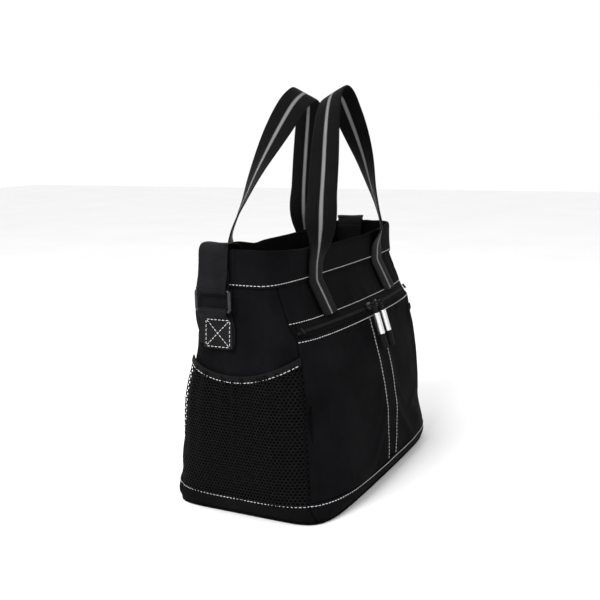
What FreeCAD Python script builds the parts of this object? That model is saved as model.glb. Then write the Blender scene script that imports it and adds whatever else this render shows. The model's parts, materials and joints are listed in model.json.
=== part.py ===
import FreeCAD, Part
import math
import os

# Soft garden tool bag: a tall tote with a hemmed collar, a sloping shoulder,
# a zipped front pocket, a mesh pocket at each end, two carry handles and a
# shoulder strap on rings.  Millimetres.  +Z is up, the front faces -Y, and the
# origin is on the ground under the middle of the bag.

Vector = FreeCAD.Vector
doc = FreeCAD.newDocument("garden_tool_bag")
sheet = doc.addObject("Spreadsheet::Sheet", "dims")

DIMENSIONS = {
    "panel_thickness": 2.5,
    "hem_thickness": 4.0,
    "band_thickness": 3.0,
    "pocket_thickness": 2.0,
    "pocket_gap": 4.0,
    "base_thickness": 3.0,
    "board_thickness": 3.0,
    "board_inset": 6.0,
    "strip_half_width": 12.0,
    "strip_recess": 1.0,
    "mesh_thickness": 1.5,
    "mesh_bulge": 12.0,
    "binding_width": 9.0,
    "binding_thickness": 3.0,
    "mouth_middle": 165.0,
    "mouth_front": 198.0,
    "mouth_back": 191.0,
    "webbing_width": 38.0,
    "webbing_thickness": 2.5,
    "handle_spacing": 190.0,
    "handle_stand": 53.2,
    "handle_foot": 267.0,
    "handle_peak": 477.0,
    "handle_lean": 21.0,
    "twist_foot": 298.0,
    "twist_rise": 75.0,
    "tab_top": 262.0,
    "tab_foot": 224.0,
    "zip_radius": 1100.0,
    "zip_end": 158.0,
    "tape_thickness": 1.2,
    "coil_width": 2.6,
    "coil_height": 1.4,
    "slider_length": 12.0,
    "slider_width": 9.0,
    "slider_height": 3.5,
    "slider_clearance": 0.8,
    "bridge_height": 5.0,
    "bridge_radius": 0.8,
    "left_slider_x": -5.0,
    "right_slider_x": 16.0,
    "cord_diameter": 2.6,
    "cord_eye_radius": 3.0,
    "pull_slope": 17.0,
    "barrel_top": 13.0,
    "barrel_length": 27.0,
    "barrel_diameter": 9.0,
    "barrel_bore": 3.4,
    "knot_radius": 4.3,
    "knot_drop": 50.0,
    "ring_width": 46.0,
    "ring_drop": 22.0,
    "ring_wire": 4.0,
    "ring_corner": 3.0,
    "ring_stand": 195.4,
    "ring_foot": 237.0,
    "strap_side": 24.0,
    "strap_rim_side": 18.0,
    "anchor_foot": 196.0,
    "strap_end_top": 268.0,
    "strap_inside": 171.0,
}

# The bag's outline at each height: half width, half depth, how square the
# corners are, how far the long sides bow, and where the corner seam stands.
LEVELS = {
    "foot": (3.0, 187.0, 107.0, 8.0, 0.03, 43.0),
    "band_seam": (24.0, 194.0, 113.0, 4.4, 0.03, 39.0),
    "belly": (80.0, 194.0, 112.0, 3.9, 0.05, 39.0),
    "waist": (140.0, 193.0, 104.0, 4.6, 0.08, 41.0),
    "zip_low": (206.0, 190.0, 86.0, 6.5, 0.13, 44.0),
    "zip_high": (222.0, 189.0, 73.0, 6.5, 0.13, 44.0),
    "rim_seam": (264.0, 186.0, 51.0, 8.0, 0.12, 45.0),
    "rim": (305.0, 186.0, 50.0, 8.0, 0.12, 45.0),
}
LEVEL_WORDS = ("height", "half_width", "half_depth", "corner", "bow", "seam")
for level_name, values in LEVELS.items():
    for word, value in zip(LEVEL_WORDS, values):
        DIMENSIONS[level_name + "_" + word] = value

for row, (alias, value) in enumerate(DIMENSIONS.items(), start=1):
    sheet.set("A%d" % row, alias)
    sheet.set("B%d" % row, str(value))
    sheet.setAlias("B%d" % row, alias)
doc.recompute()

pieces = []


def size(alias):
    """A driving dimension, read from the sheet."""
    return float(getattr(sheet, alias))


def bind(feature, prop, formula):
    """Bind a property to the sheet: every word that is an alias is looked up."""
    words = formula.split()
    linked = ["dims." + word if word in DIMENSIONS else word for word in words]
    feature.setExpression(prop, " ".join(linked))


def keep(feature, name):
    """Mark a feature as one finished piece of the bag."""
    feature.Label = name
    pieces.append(feature)
    return feature


def solid_piece(name, shape):
    """A lofted piece whose shape comes straight from the sheet's sizes."""
    feature = doc.addObject("Part::Feature", name)
    feature.Shape = shape
    return keep(feature, name)


# ---------------------------------------------------------------- the outline

def level(name):
    """The named outline's values, as a plain dictionary."""
    return {word: size(name + "_" + word) for word in LEVEL_WORDS}


def between(low, high, height):
    """The outline at a height between two named ones."""
    share = (height - low["height"]) / (high["height"] - low["height"])
    return {word: low[word] + share * (high[word] - low[word]) for word in LEVEL_WORDS}


def outline_point(ring, turn, inset):
    """The point of an outline at a turn in degrees, moved inward by inset."""
    angle = math.radians(turn)
    across = math.cos(angle)
    along = math.sin(angle)
    power = ring["corner"]
    reach = (abs(across) ** power + abs(along) ** power) ** (-1.0 / power)
    bow = 1.0 - ring["bow"] * (reach * across) ** 2
    x = (ring["half_width"] - inset) * reach * across
    y = (ring["half_depth"] - inset) * reach * along * bow
    return Vector(x, y, ring["height"])


def curve_through(points):
    """One smooth edge through the points."""
    spline = Part.BSplineCurve()
    spline.interpolate(points)
    return spline.toShape()


def wall_section(ring, start, stop, outer_inset, inner_inset, steps=10):
    """A closed wire: the wall's outer curve, its inner curve and its two ends."""
    turns = [start + (stop - start) * step / steps for step in range(steps + 1)]
    outer = [outline_point(ring, turn, outer_inset(turn)) for turn in turns]
    inner = [outline_point(ring, turn, inner_inset(turn)) for turn in turns]
    inner.reverse()
    edges = [
        curve_through(outer),
        Part.LineSegment(outer[-1], inner[0]).toShape(),
        curve_through(inner),
        Part.LineSegment(inner[-1], outer[0]).toShape(),
    ]
    return Part.Wire(edges)


def wall(rings, spans, outer_inset, thickness):
    """A solid wall lofted through outlines; spans gives its two ends at each."""
    sections = []
    for ring, (start, stop) in zip(rings, spans):
        def inner_inset(turn, ring=ring):
            return outer_inset(turn, ring) + thickness

        def near_inset(turn, ring=ring):
            return outer_inset(turn, ring)

        sections.append(wall_section(ring, start, stop, near_inset, inner_inset))
    return Part.makeLoft(sections, True, True)


def flat_plate(ring, inset, bottom, thickness, steps=60):
    """A plate with the outline's shape."""
    points = [outline_point(ring, 360.0 * step / steps, inset) for step in range(steps)]
    for point in points:
        point.z = bottom
    spline = Part.BSplineCurve()
    spline.interpolate(points, PeriodicFlag=True)
    face = Part.Face(Part.Wire([spline.toShape()]))
    return face.extrude(Vector(0, 0, thickness))


def flush(turn, ring):
    """No inset: the wall's outside is the outline itself."""
    return 0.0


def front_span(ring):
    return (180.0 + ring["seam"], 360.0 - ring["seam"])


def back_span(ring):
    return (ring["seam"], 180.0 - ring["seam"])


def right_span(ring):
    return (-ring["seam"], ring["seam"])


def left_span(ring):
    return (180.0 - ring["seam"], 180.0 + ring["seam"])


SIDES = {"front": front_span, "right": right_span, "back": back_span, "left": left_span}

foot = level("foot")
band_seam = level("band_seam")
belly = level("belly")
waist = level("waist")
zip_low = level("zip_low")
zip_high = level("zip_high")
rim_seam = level("rim_seam")
rim = level("rim")

# ------------------------------------------------------------- base and walls

solid_piece("base_panel", flat_plate(foot, 0.0, 0.0, size("base_thickness")))
board_bottom = size("base_thickness") + 0.3
solid_piece(
    "base_board",
    flat_plate(foot, size("board_inset"), board_bottom, size("board_thickness")),
)

for side, span in SIDES.items():
    band_rings = [foot, band_seam]
    solid_piece(
        side + "_base_band",
        wall(band_rings, [span(ring) for ring in band_rings], flush, size("band_thickness")),
    )


def strip_turn(ring, sign):
    """Where the pocket's centre strip ends, as a turn of the outline."""
    share = size("strip_half_width") / ring["half_width"]
    return 270.0 + sign * math.degrees(math.asin(share))


pocket_rings = [band_seam, belly, waist, zip_low]
solid_piece(
    "pocket_left_panel",
    wall(
        pocket_rings,
        [(front_span(ring)[0], strip_turn(ring, -1)) for ring in pocket_rings],
        flush,
        size("pocket_thickness"),
    ),
)
solid_piece(
    "pocket_right_panel",
    wall(
        pocket_rings,
        [(strip_turn(ring, 1), front_span(ring)[1]) for ring in pocket_rings],
        flush,
        size("pocket_thickness"),
    ),
)


def recessed(turn, ring):
    return size("strip_recess")


def behind_pocket(turn, ring):
    return size("pocket_gap")


solid_piece(
    "pocket_centre_strip",
    wall(
        pocket_rings,
        [(strip_turn(ring, -1), strip_turn(ring, 1)) for ring in pocket_rings],
        recessed,
        size("pocket_thickness"),
    ),
)
wall_rings = [band_seam, belly, waist, zip_low, zip_high]
solid_piece(
    "front_wall",
    wall(wall_rings, [front_span(ring) for ring in wall_rings], behind_pocket,
         size("pocket_thickness")),
)
yoke_rings = [zip_high, rim_seam]
solid_piece(
    "front_yoke",
    wall(yoke_rings, [front_span(ring) for ring in yoke_rings], flush,
         size("panel_thickness")),
)
body_rings = [band_seam, belly, waist, zip_low, zip_high, rim_seam]
solid_piece(
    "back_panel",
    wall(body_rings, [back_span(ring) for ring in body_rings], flush,
         size("panel_thickness")),
)

# The end walls stand back behind their mesh pockets and come out to the
# outline again above the pocket's mouth.


def side_inset(turn, ring):
    if ring["height"] > size("waist_height"):
        return 0.0
    from_middle = (turn + 90.0) % 180.0 - 90.0
    share = from_middle / ring["seam"]
    return size("mesh_bulge") * (1.0 - share * share)


for side in ("left", "right"):
    span = SIDES[side]
    solid_piece(
        side + "_side_panel",
        wall(body_rings, [span(ring) for ring in body_rings], side_inset,
             size("panel_thickness")),
    )

hem_rings = [rim_seam, rim]


def hem_inset(turn, ring):
    return -0.5


solid_piece(
    "front_rim_hem",
    wall(hem_rings, [(180.0, 360.0)] * 2, hem_inset, size("hem_thickness")),
)
solid_piece(
    "back_rim_hem",
    wall(hem_rings, [(0.0, 180.0)] * 2, hem_inset, size("hem_thickness")),
)

# ------------------------------------------------------------ the mesh pockets


def below_mouth(drop, side_sign):
    """A block under the pocket mouth's curve, moved down by drop."""
    reach = 0.74 * size("band_seam_half_depth")
    outside = size("band_seam_half_width") + 20.0
    inside = 0.5 * outside
    middle = Vector(0, 0, size("mouth_middle") - drop)
    front = Vector(0, -reach, size("mouth_front") - drop)
    back = Vector(0, reach, size("mouth_back") - drop)
    low_back = Vector(0, reach, 10.0)
    low_front = Vector(0, -reach, 10.0)
    edges = [
        Part.Arc(front, middle, back).toShape(),
        Part.LineSegment(back, low_back).toShape(),
        Part.LineSegment(low_back, low_front).toShape(),
        Part.LineSegment(low_front, front).toShape(),
    ]
    block = Part.Face(Part.Wire(edges)).extrude(Vector(outside - inside, 0, 0))
    start = inside if side_sign > 0 else -outside
    block.translate(Vector(start, 0, 0))
    return block


pocket_top = between(waist, zip_low, 190.0)
mesh_rings = [band_seam, belly, waist, pocket_top]
for side, side_sign in (("left", -1), ("right", 1)):
    spans = [SIDES[side](ring) for ring in mesh_rings]
    outside = size("mesh_thickness") + 0.1

    def over_wall(turn, ring):
        return -outside

    skin = wall(mesh_rings, spans, over_wall, size("mesh_thickness"))
    solid_piece(side + "_mesh_pocket", skin.common(below_mouth(size("binding_width"), side_sign)))

    def proud(turn, ring):
        return -size("binding_thickness") - 0.1

    tape = wall(mesh_rings, spans, proud, size("binding_thickness"))
    upper = tape.common(below_mouth(0.0, side_sign))
    solid_piece(side + "_pocket_binding", upper.cut(below_mouth(size("binding_width"), side_sign)))

# ----------------------------------------------------------------- sketch tools


def plane_of(body, role):
    """One of a body's own origin planes."""
    found = [item for item in body.Origin.OriginFeatures if item.Role == role]
    return found[0]


def new_body(name):
    body = doc.addObject("PartDesign::Body", name)
    return keep(body, name)


def new_sketch(body, role, name, edges):
    sketch = body.newObject("Sketcher::SketchObject", name)
    sketch.AttachmentSupport = [(plane_of(body, role), "")]
    sketch.MapMode = "FlatFace"
    for edge in edges:
        sketch.addGeometry(edge)
    return sketch


def unit(start, end):
    length = math.hypot(end[0] - start[0], end[1] - start[1])
    return ((end[0] - start[0]) / length, (end[1] - start[1]) / length)


def moved_route(corners, radii, offset):
    """Lines and tangent arcs through corners, moved sideways by offset."""
    ways = [unit(corners[i], corners[i + 1]) for i in range(len(corners) - 1)]
    start = corners[0]
    here = Vector(start[0] - offset * ways[0][1], start[1] + offset * ways[0][0], 0)
    edges = []
    for i in range(1, len(corners) - 1):
        before, after = ways[i - 1], ways[i]
        cross = before[0] * after[1] - before[1] * after[0]
        dot = before[0] * after[0] + before[1] * after[1]
        side = math.copysign(1.0, cross)
        shift = offset / (1.0 + dot)
        corner = Vector(
            corners[i][0] - shift * (before[1] + after[1]),
            corners[i][1] + shift * (before[0] + after[0]),
            0,
        )
        radius = radii[i - 1] - side * offset
        back = radius * math.tan(0.5 * math.atan2(abs(cross), dot))
        arc_in = corner - Vector(before[0], before[1], 0) * back
        arc_out = corner + Vector(after[0], after[1], 0) * back
        centre = arc_in + Vector(-before[1], before[0], 0) * (side * radius)
        to_corner = corner - centre
        middle = centre + to_corner * (radius / to_corner.Length)
        if (arc_in - here).Length > 1e-6:
            edges.append(Part.LineSegment(here, arc_in))
        edges.append(Part.Arc(arc_in, middle, arc_out))
        here = arc_out
    last = corners[-1]
    end = Vector(last[0] - offset * ways[-1][1], last[1] + offset * ways[-1][0], 0)
    edges.append(Part.LineSegment(here, end))
    return edges


def ribbon_profile(corners, radii, thickness):
    """The closed outline of a strip of webbing seen on its edge."""
    half = 0.5 * thickness
    upper = moved_route(corners, radii, half)
    lower = moved_route(corners, radii, -half)
    close_end = Part.LineSegment(upper[-1].EndPoint, lower[-1].EndPoint)
    close_start = Part.LineSegment(lower[0].StartPoint, upper[0].StartPoint)
    return upper + lower + [close_end, close_start]


def webbing(name, role, corners, radii, width_formula):
    """Webbing bent along a flat route and padded to its width."""
    body = new_body(name)
    profile = ribbon_profile(corners, radii, size("webbing_thickness"))
    sketch = new_sketch(body, role, name + "_route", profile)
    pad = body.newObject("PartDesign::Pad", name + "_pad")
    pad.Profile = sketch
    pad.SideType = "Symmetric"
    bind(pad, "Length", width_formula)
    return body


def polygon(points):
    """Straight edges round a list of flat points."""
    corners = [Vector(u, v, 0) for u, v in points]
    return [
        Part.LineSegment(corners[i], corners[(i + 1) % len(corners)])
        for i in range(len(corners))
    ]


# -------------------------------------------------------------------- the zip
# The zip lies on an arc seen from above, so its sliders turn about the arc's
# centre far behind the bag.

zip_middle_y = -0.5 * (zip_low["half_depth"] + zip_high["half_depth"])
zip_middle_z = 0.5 * (zip_low["height"] + zip_high["height"])
slope_y = zip_low["half_depth"] - zip_high["half_depth"]
slope_z = zip_high["height"] - zip_low["height"]
slope_length = math.hypot(slope_y, slope_z)
up_zip = (slope_y / slope_length, slope_z / slope_length)
out_zip = (-up_zip[1], up_zip[0])
zip_centre_y = zip_middle_y + size("zip_radius")
zip_half_turn = math.degrees(math.asin(size("zip_end") / size("zip_radius")))


def on_zip(up, out):
    """A point of the zip's section: so far up the slope, so far out of it."""
    y = zip_middle_y + up * up_zip[0] + out * out_zip[0]
    z = zip_middle_z + up * up_zip[1] + out * out_zip[1]
    return (y, z)


def zip_strip(name, low, high, inner, outer):
    """A strip of the zip, turned about the arc's upright axis."""
    body = new_body(name)
    corners = [on_zip(low, inner), on_zip(high, inner), on_zip(high, outer), on_zip(low, outer)]
    moved = [(y - zip_centre_y, z) for y, z in corners]
    sketch = new_sketch(body, "YZ_Plane", name + "_section", polygon(moved))
    turn = body.newObject("PartDesign::Revolution", name + "_turn")
    turn.Profile = sketch
    turn.ReferenceAxis = (sketch, ["V_Axis"])
    turn.Midplane = True
    turn.Angle = 2.0 * zip_half_turn
    body.Placement = FreeCAD.Placement(Vector(0, zip_centre_y, 0), FreeCAD.Rotation())
    return body


coil_half = 0.5 * size("coil_width")
tape_edge = 0.5 * slope_length - 0.4
zip_strip("zip_tape_lower", 1.4 - tape_edge, -coil_half - 0.1, -size("tape_thickness"), 0.0)
zip_strip("zip_tape_upper", coil_half + 0.1, tape_edge, -size("tape_thickness"), 0.0)
zip_strip("zip_coil_lower", -coil_half, -0.05, -size("tape_thickness"), size("coil_height"))
zip_strip("zip_coil_upper", 0.05, coil_half, -size("tape_thickness"), size("coil_height"))

slope_turn = FreeCAD.Rotation(Vector(1, 0, 0), math.degrees(math.atan2(up_zip[1], up_zip[0])))


def on_arc(x, up, out):
    """A point on the zip at x, with the turn that brings a piece there."""
    y, z = on_zip(up, out)
    reach = zip_centre_y - y
    turn = math.asin(x / size("zip_radius"))
    place = Vector(reach * math.sin(turn), zip_centre_y - reach * math.cos(turn), z)
    return place, FreeCAD.Rotation(Vector(0, 0, 1), math.degrees(turn))


def box_piece(name, length, width, height, bevel):
    """A small pressed metal piece: a block with rounded edges."""
    block = Part.makeBox(length, width, height, Vector(-0.5 * length, -0.5 * width, 0))
    return block.makeFillet(bevel, block.Edges)


stops = []
for sign in (-1, 1):
    place, turn = on_arc(sign * (size("zip_end") + 4.0), 0.0, 0.1)
    stop = box_piece("stop", 3.0, 7.0, 2.4, 0.5)
    stop.Placement = FreeCAD.Placement(place, turn * slope_turn)
    stops.append(stop)
solid_piece("zip_end_stops", Part.makeCompound(stops))

slider_floor = size("coil_height") + size("slider_clearance")
bridge_out = slider_floor + size("slider_height") + size("bridge_height")


def make_slider(name, x):
    """A slider body with two lugs and the bar that the pull hangs on."""
    bar_half = 4.2
    plate = box_piece(name, size("slider_length"), size("slider_width"),
                      size("slider_height"), 1.2)
    shape = plate
    for sign in (-1, 1):
        lug = Part.makeBox(1.6, 2.4, size("bridge_height") + 1.6)
        lug.translate(Vector(sign * 3.4 - 0.8, -1.2, size("slider_height") - 0.8))
        shape = shape.fuse(lug)
    bar = Part.makeCylinder(size("bridge_radius"), 2.0 * bar_half, Vector(-bar_half, 0, 0),
                            Vector(1, 0, 0))
    bar.translate(Vector(0, 0, size("slider_height") + size("bridge_height")))
    shape = shape.fuse(bar).removeSplitter()
    place, turn = on_arc(x, 0.0, slider_floor)
    feature = solid_piece(name, shape)
    feature.Placement = FreeCAD.Placement(place, turn * slope_turn)
    return feature


def make_pull(side, x):
    """The cord pull: an eye round the bar, a strand, a barrel and an end knot."""
    place, turn = on_arc(x, 0.0, bridge_out)
    hang = turn * FreeCAD.Rotation(Vector(1, 0, 0), -size("pull_slope"))
    at_bar = FreeCAD.Placement(place, hang)
    radius = 0.5 * size("cord_diameter")
    eye = Part.makeTorus(size("cord_eye_radius"), radius, Vector(0, 0, 0), Vector(1, 0, 0))
    strand_length = size("knot_drop") - size("cord_eye_radius")
    strand = Part.makeCylinder(radius, strand_length, Vector(0, 0, -size("knot_drop")))
    cord = solid_piece(side + "_pull_cord", eye.fuse(strand))
    cord.Placement = at_bar
    barrel = doc.addObject("Part::Cylinder", side + "_barrel_outside")
    bind(barrel, "Radius", "barrel_diameter / 2")
    bind(barrel, "Height", "barrel_length")
    bore = doc.addObject("Part::Cylinder", side + "_barrel_bore")
    bind(bore, "Radius", "barrel_bore / 2")
    bind(bore, "Height", "barrel_length")
    sleeve = doc.addObject("Part::Cut", side + "_pull_barrel")
    sleeve.Base = barrel
    sleeve.Tool = bore
    drop = Vector(0, 0, -size("barrel_top") - size("barrel_length"))
    sleeve.Placement = at_bar.multiply(FreeCAD.Placement(drop, FreeCAD.Rotation()))
    keep(sleeve, side + "_pull_barrel")
    knot = doc.addObject("Part::Sphere", side + "_pull_knot")
    bind(knot, "Radius", "knot_radius")
    low = Vector(0, 0, -size("knot_drop") - size("knot_radius") - 0.02)
    knot.Placement = at_bar.multiply(FreeCAD.Placement(low, FreeCAD.Rotation()))
    keep(knot, side + "_pull_knot")


for side in ("left", "right"):
    slider_x = size(side + "_slider_x")
    make_slider(side + "_slider", slider_x)
    make_pull(side, slider_x)

# ---------------------------------------------------------------- the handles

# Each loop's route as seen from the front: x and height, chosen by hand.
FRONT_LOOP = [
    (-95, 267), (-94, 280), (-88, 298), (-76, 320), (-63, 343), (-47, 370), (-31, 398),
    (-14, 428), (4, 455), (20, 471), (36, 477), (52, 471), (65, 452), (80, 425), (93, 395),
    (101, 362), (104, 330), (102, 303), (97, 281), (95, 267),
]
BACK_LOOP = [
    (-95, 267), (-97, 281), (-98, 304), (-93, 328), (-82, 352), (-66, 378), (-46, 405),
    (-24, 432), (0, 458), (18, 471), (36, 477), (49, 468), (56, 446), (62, 415),
    (69, 382), (77, 348), (87, 315), (94, 287), (95, 267),
]


def smooth(share):
    share = min(max(share, 0.0), 1.0)
    return share * share * (3.0 - 2.0 * share)


def handle_loop(name, route, facing):
    """A loop of webbing that stands on its edge at the top of the hand grip."""
    grip = size("rim_height")
    lean = size("handle_stand") - size("handle_lean")
    centres = []
    for x, height in route:
        rise = max(height - grip, 0.0) / (size("handle_peak") - grip)
        centres.append(Vector(x, facing * (size("handle_stand") - lean * rise), height))
    peak = max(range(len(centres)), key=lambda i: centres[i].z)
    sections = []
    for i, centre in enumerate(centres):
        before = centres[max(i - 1, 0)]
        after = centres[min(i + 1, len(centres) - 1)]
        along = (after - before).normalize()
        twist = 90.0 * smooth((centre.z - size("twist_foot")) / size("twist_rise"))
        if i > peak:
            twist = 180.0 - twist
        if i == peak:
            twist = 90.0
        turn = math.radians(twist)
        across = Vector(math.cos(turn), facing * math.sin(turn), 0)
        across = (across - along * across.dot(along)).normalize()
        out = along.cross(across)
        half_width = across * (0.5 * size("webbing_width"))
        half_thick = out * (0.5 * size("webbing_thickness"))
        corners = [
            centre - half_width - half_thick,
            centre + half_width - half_thick,
            centre + half_width + half_thick,
            centre - half_width + half_thick,
        ]
        sections.append(Part.makePolygon(corners + [corners[0]]))
    return solid_piece(name, Part.makeLoft(sections, True, True))


handle_loop("front_handle_webbing", FRONT_LOOP, -1)
handle_loop("back_handle_webbing", BACK_LOOP, 1)


def make_tab(name, x, facing):
    """The handle's sewn end, flat on the shoulder below the hinge."""
    ring_low = between(zip_high, rim_seam, size("tab_foot"))
    ring_high = between(zip_high, rim_seam, size("tab_top"))
    lift = 0.5 * size("webbing_thickness") + 0.4
    route = []
    for ring in (ring_low, ring_high):
        inner_edge = 0.5 * (size("handle_spacing") - size("webbing_width"))
        share = inner_edge / ring["half_width"]
        depth = ring["half_depth"] * (1.0 - ring["bow"] * share * share)
        route.append((facing * (depth + lift), ring["height"]))
    body = webbing(name, "YZ_Plane", route, [], "webbing_width")
    body.Placement = FreeCAD.Placement(Vector(x, 0, 0), FreeCAD.Rotation())
    return body


for face, facing in (("front", -1), ("back", 1)):
    for side, sign in (("left", -1), ("right", 1)):
        make_tab("%s_%s_handle_tab" % (face, side), sign * size("handle_spacing") / 2.0, facing)

# -------------------------------------------------- rings and shoulder strap


def make_ring(side, sign):
    """A rectangular wire ring with round corners, hanging on its lower bar."""
    body = new_body(side + "_ring")
    half_width = 0.5 * size("ring_width") - 0.5 * size("ring_wire")
    half_height = 0.5 * size("ring_drop")
    corner = size("ring_corner")
    corners = [
        (0, -half_height), (half_width, -half_height), (half_width, half_height),
        (-half_width, half_height), (-half_width, -half_height), (0, -half_height),
    ]
    spine = new_sketch(body, "YZ_Plane", side + "_ring_route",
                       moved_route(corners, [corner] * 4, 0.0))
    circle = Part.Circle(Vector(0, -half_height, 0), Vector(0, 0, 1), 0.5 * size("ring_wire"))
    profile = new_sketch(body, "XZ_Plane", side + "_ring_wire", [circle])
    pipe = body.newObject("PartDesign::AdditivePipe", side + "_ring_pipe")
    pipe.Profile = profile
    pipe.Spine = (spine, ["Edge%d" % (i + 1) for i in range(spine.GeometryCount)])
    place = Vector(sign * size("ring_stand"), size("strap_side"),
                   size("ring_foot") + half_height)
    body.Placement = FreeCAD.Placement(place, FreeCAD.Rotation())


def loop_route(sign, bar_height, turn_round, tail_height, tail_reach):
    """Webbing that comes along the wall, rounds a bar and lies back on itself."""
    bar_x = size("ring_stand")
    reach = 0.5 * size("ring_wire") + 0.5 * size("webbing_thickness") + 0.3
    top = bar_height + turn_round * reach
    route = [
        (bar_x - reach, tail_height), (bar_x - reach, top),
        (bar_x + reach, top), (bar_x + reach, tail_reach),
    ]
    return [(sign * x, z) for x, z in route], [reach - 0.05] * 2


for side, sign in (("left", -1), ("right", 1)):
    make_ring(side, sign)
    bar_low = size("ring_foot")
    bar_high = bar_low + size("ring_drop")
    corners, radii = loop_route(sign, bar_low, 1, size("anchor_foot"), size("anchor_foot") + 2.0)
    anchor = webbing(side + "_ring_anchor", "XZ_Plane", corners, radii, "webbing_width - 3")
    anchor.Placement = FreeCAD.Placement(Vector(0, size("strap_side"), 0), FreeCAD.Rotation())
    corners, radii = loop_route(sign, bar_high, -1, size("strap_end_top"), size("strap_end_top"))
    end = webbing(side + "_strap_end", "XZ_Plane", corners, radii, "webbing_width - 3")
    end.Placement = FreeCAD.Placement(Vector(0, size("strap_side"), 0), FreeCAD.Rotation())

strap_out = size("rim_half_width") + 5.5
strap_in = size("rim_half_width") - size("hem_thickness") - 12.5
strap_over = size("rim_height") + 2.2
strap_low = board_bottom + size("board_thickness") + 0.5 * size("webbing_thickness") + 0.3
half_strap = [
    (strap_out, size("strap_end_top") + 1.5), (strap_out, strap_over),
    (strap_in, strap_over), (size("strap_inside"), 150.0), (size("strap_inside"), strap_low),
]
strap_corners = [(-x, z) for x, z in half_strap] + list(reversed(half_strap))
rim_bend = 5.7
strap_radii = [rim_bend, rim_bend, 60.0, 14.0, 14.0, 60.0, rim_bend, rim_bend]
strap = webbing("shoulder_strap", "XZ_Plane", strap_corners, strap_radii, "webbing_width")
strap.Placement = FreeCAD.Placement(Vector(0, size("strap_rim_side"), 0), FreeCAD.Rotation())

# ------------------------------------------------------------- check and write

doc.recompute()
for item in doc.Objects:
    if "Invalid" in item.State or "Error" in item.State:
        raise RuntimeError("%s did not build: %s" % (item.Name, item.State))
os.makedirs("parts", exist_ok=True)
for piece in pieces:
    shape = piece.Shape
    if shape.isNull() or not shape.isValid() or shape.Volume < 1.0:
        raise RuntimeError("%s has no sound shape" % piece.Label)
for piece in pieces:
    piece.Shape.exportStep("parts/%s.step" % piece.Label)
    box = piece.Shape.optimalBoundingBox(False)
    print("%-24s %9.0f mm3  x %7.1f..%6.1f  y %7.1f..%6.1f  z %6.1f..%6.1f" % (
        piece.Label, piece.Shape.Volume, box.XMin, box.XMax, box.YMin, box.YMax,
        box.ZMin, box.ZMax))
print("%d pieces" % len(pieces))
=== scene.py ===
# %% [markdown]
# # A garden tool bag, one piece at a time
# The bag is a soft tote: polyester panels sewn to a firm base, a doubled collar round the
# mouth, webbing handles and a strap, a zipped pocket in front and a mesh pocket at each end.
# The measured model gives every piece its place, so this lesson only makes things look right:
# cloth that sags, thread that shows, mesh that gathers and metal that shines.

# %% Load the measured bag
import json
import math

import bmesh
import bpy
import numpy as np
from mathutils import Matrix, Vector, noise
from mathutils.bvhtree import BVHTree

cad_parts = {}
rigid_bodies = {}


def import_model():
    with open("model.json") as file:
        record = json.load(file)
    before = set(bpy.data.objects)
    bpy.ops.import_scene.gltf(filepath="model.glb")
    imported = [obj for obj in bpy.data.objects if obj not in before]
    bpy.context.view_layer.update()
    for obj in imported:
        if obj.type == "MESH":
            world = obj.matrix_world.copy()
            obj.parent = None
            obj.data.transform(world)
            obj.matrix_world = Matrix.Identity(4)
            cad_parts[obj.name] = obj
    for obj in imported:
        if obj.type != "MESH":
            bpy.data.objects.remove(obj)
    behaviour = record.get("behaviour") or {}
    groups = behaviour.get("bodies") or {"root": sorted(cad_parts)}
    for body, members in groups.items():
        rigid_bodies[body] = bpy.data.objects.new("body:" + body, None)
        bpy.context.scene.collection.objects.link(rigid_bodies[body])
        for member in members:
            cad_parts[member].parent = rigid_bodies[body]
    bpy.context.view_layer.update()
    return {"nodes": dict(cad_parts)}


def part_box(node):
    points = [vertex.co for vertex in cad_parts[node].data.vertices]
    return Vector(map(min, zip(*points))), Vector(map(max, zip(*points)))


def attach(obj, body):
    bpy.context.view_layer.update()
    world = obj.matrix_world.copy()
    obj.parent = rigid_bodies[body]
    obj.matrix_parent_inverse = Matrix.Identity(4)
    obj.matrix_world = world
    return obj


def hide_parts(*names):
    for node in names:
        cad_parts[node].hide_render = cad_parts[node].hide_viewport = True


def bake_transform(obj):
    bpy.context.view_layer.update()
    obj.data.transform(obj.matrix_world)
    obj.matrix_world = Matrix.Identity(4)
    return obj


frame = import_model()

MM = 0.001

# %% [markdown]
# ## Where things are
# Heights come from the boxes of the measured pieces: the band round the foot, the two edges of
# the zip, the seam under the collar and the rim. Asking the frame for them, instead of typing
# them, means the cloth always meets the hardware.


# %% Heights read from the frame
def low(node):
    """The lowest corner of a measured piece."""
    return Vector(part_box(node)[0])


def high(node):
    """The highest corner of a measured piece."""
    return Vector(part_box(node)[1])


foot_z = low("front_base_band").z
band_z = high("front_base_band").z
zip_low_z = high("pocket_left_panel").z
zip_high_z = high("front_wall").z
collar_z = high("front_yoke").z
rim_z = high("front_rim_hem").z
print("heights in mm:", [round(h / MM) for h in (foot_z, band_z, zip_low_z, zip_high_z, collar_z, rim_z)])

# %% [markdown]
# ## The outline of the bag
# Seen from above the bag is a rounded rectangle whose long sides bow a little. One formula, a
# super-ellipse, draws that shape at any height: a half width, a half depth, a number for how
# square the corners are, and a number for the bow. The fifth value says where the corner seam
# stands. Eight such rings, from foot to rim, describe the whole body.

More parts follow.
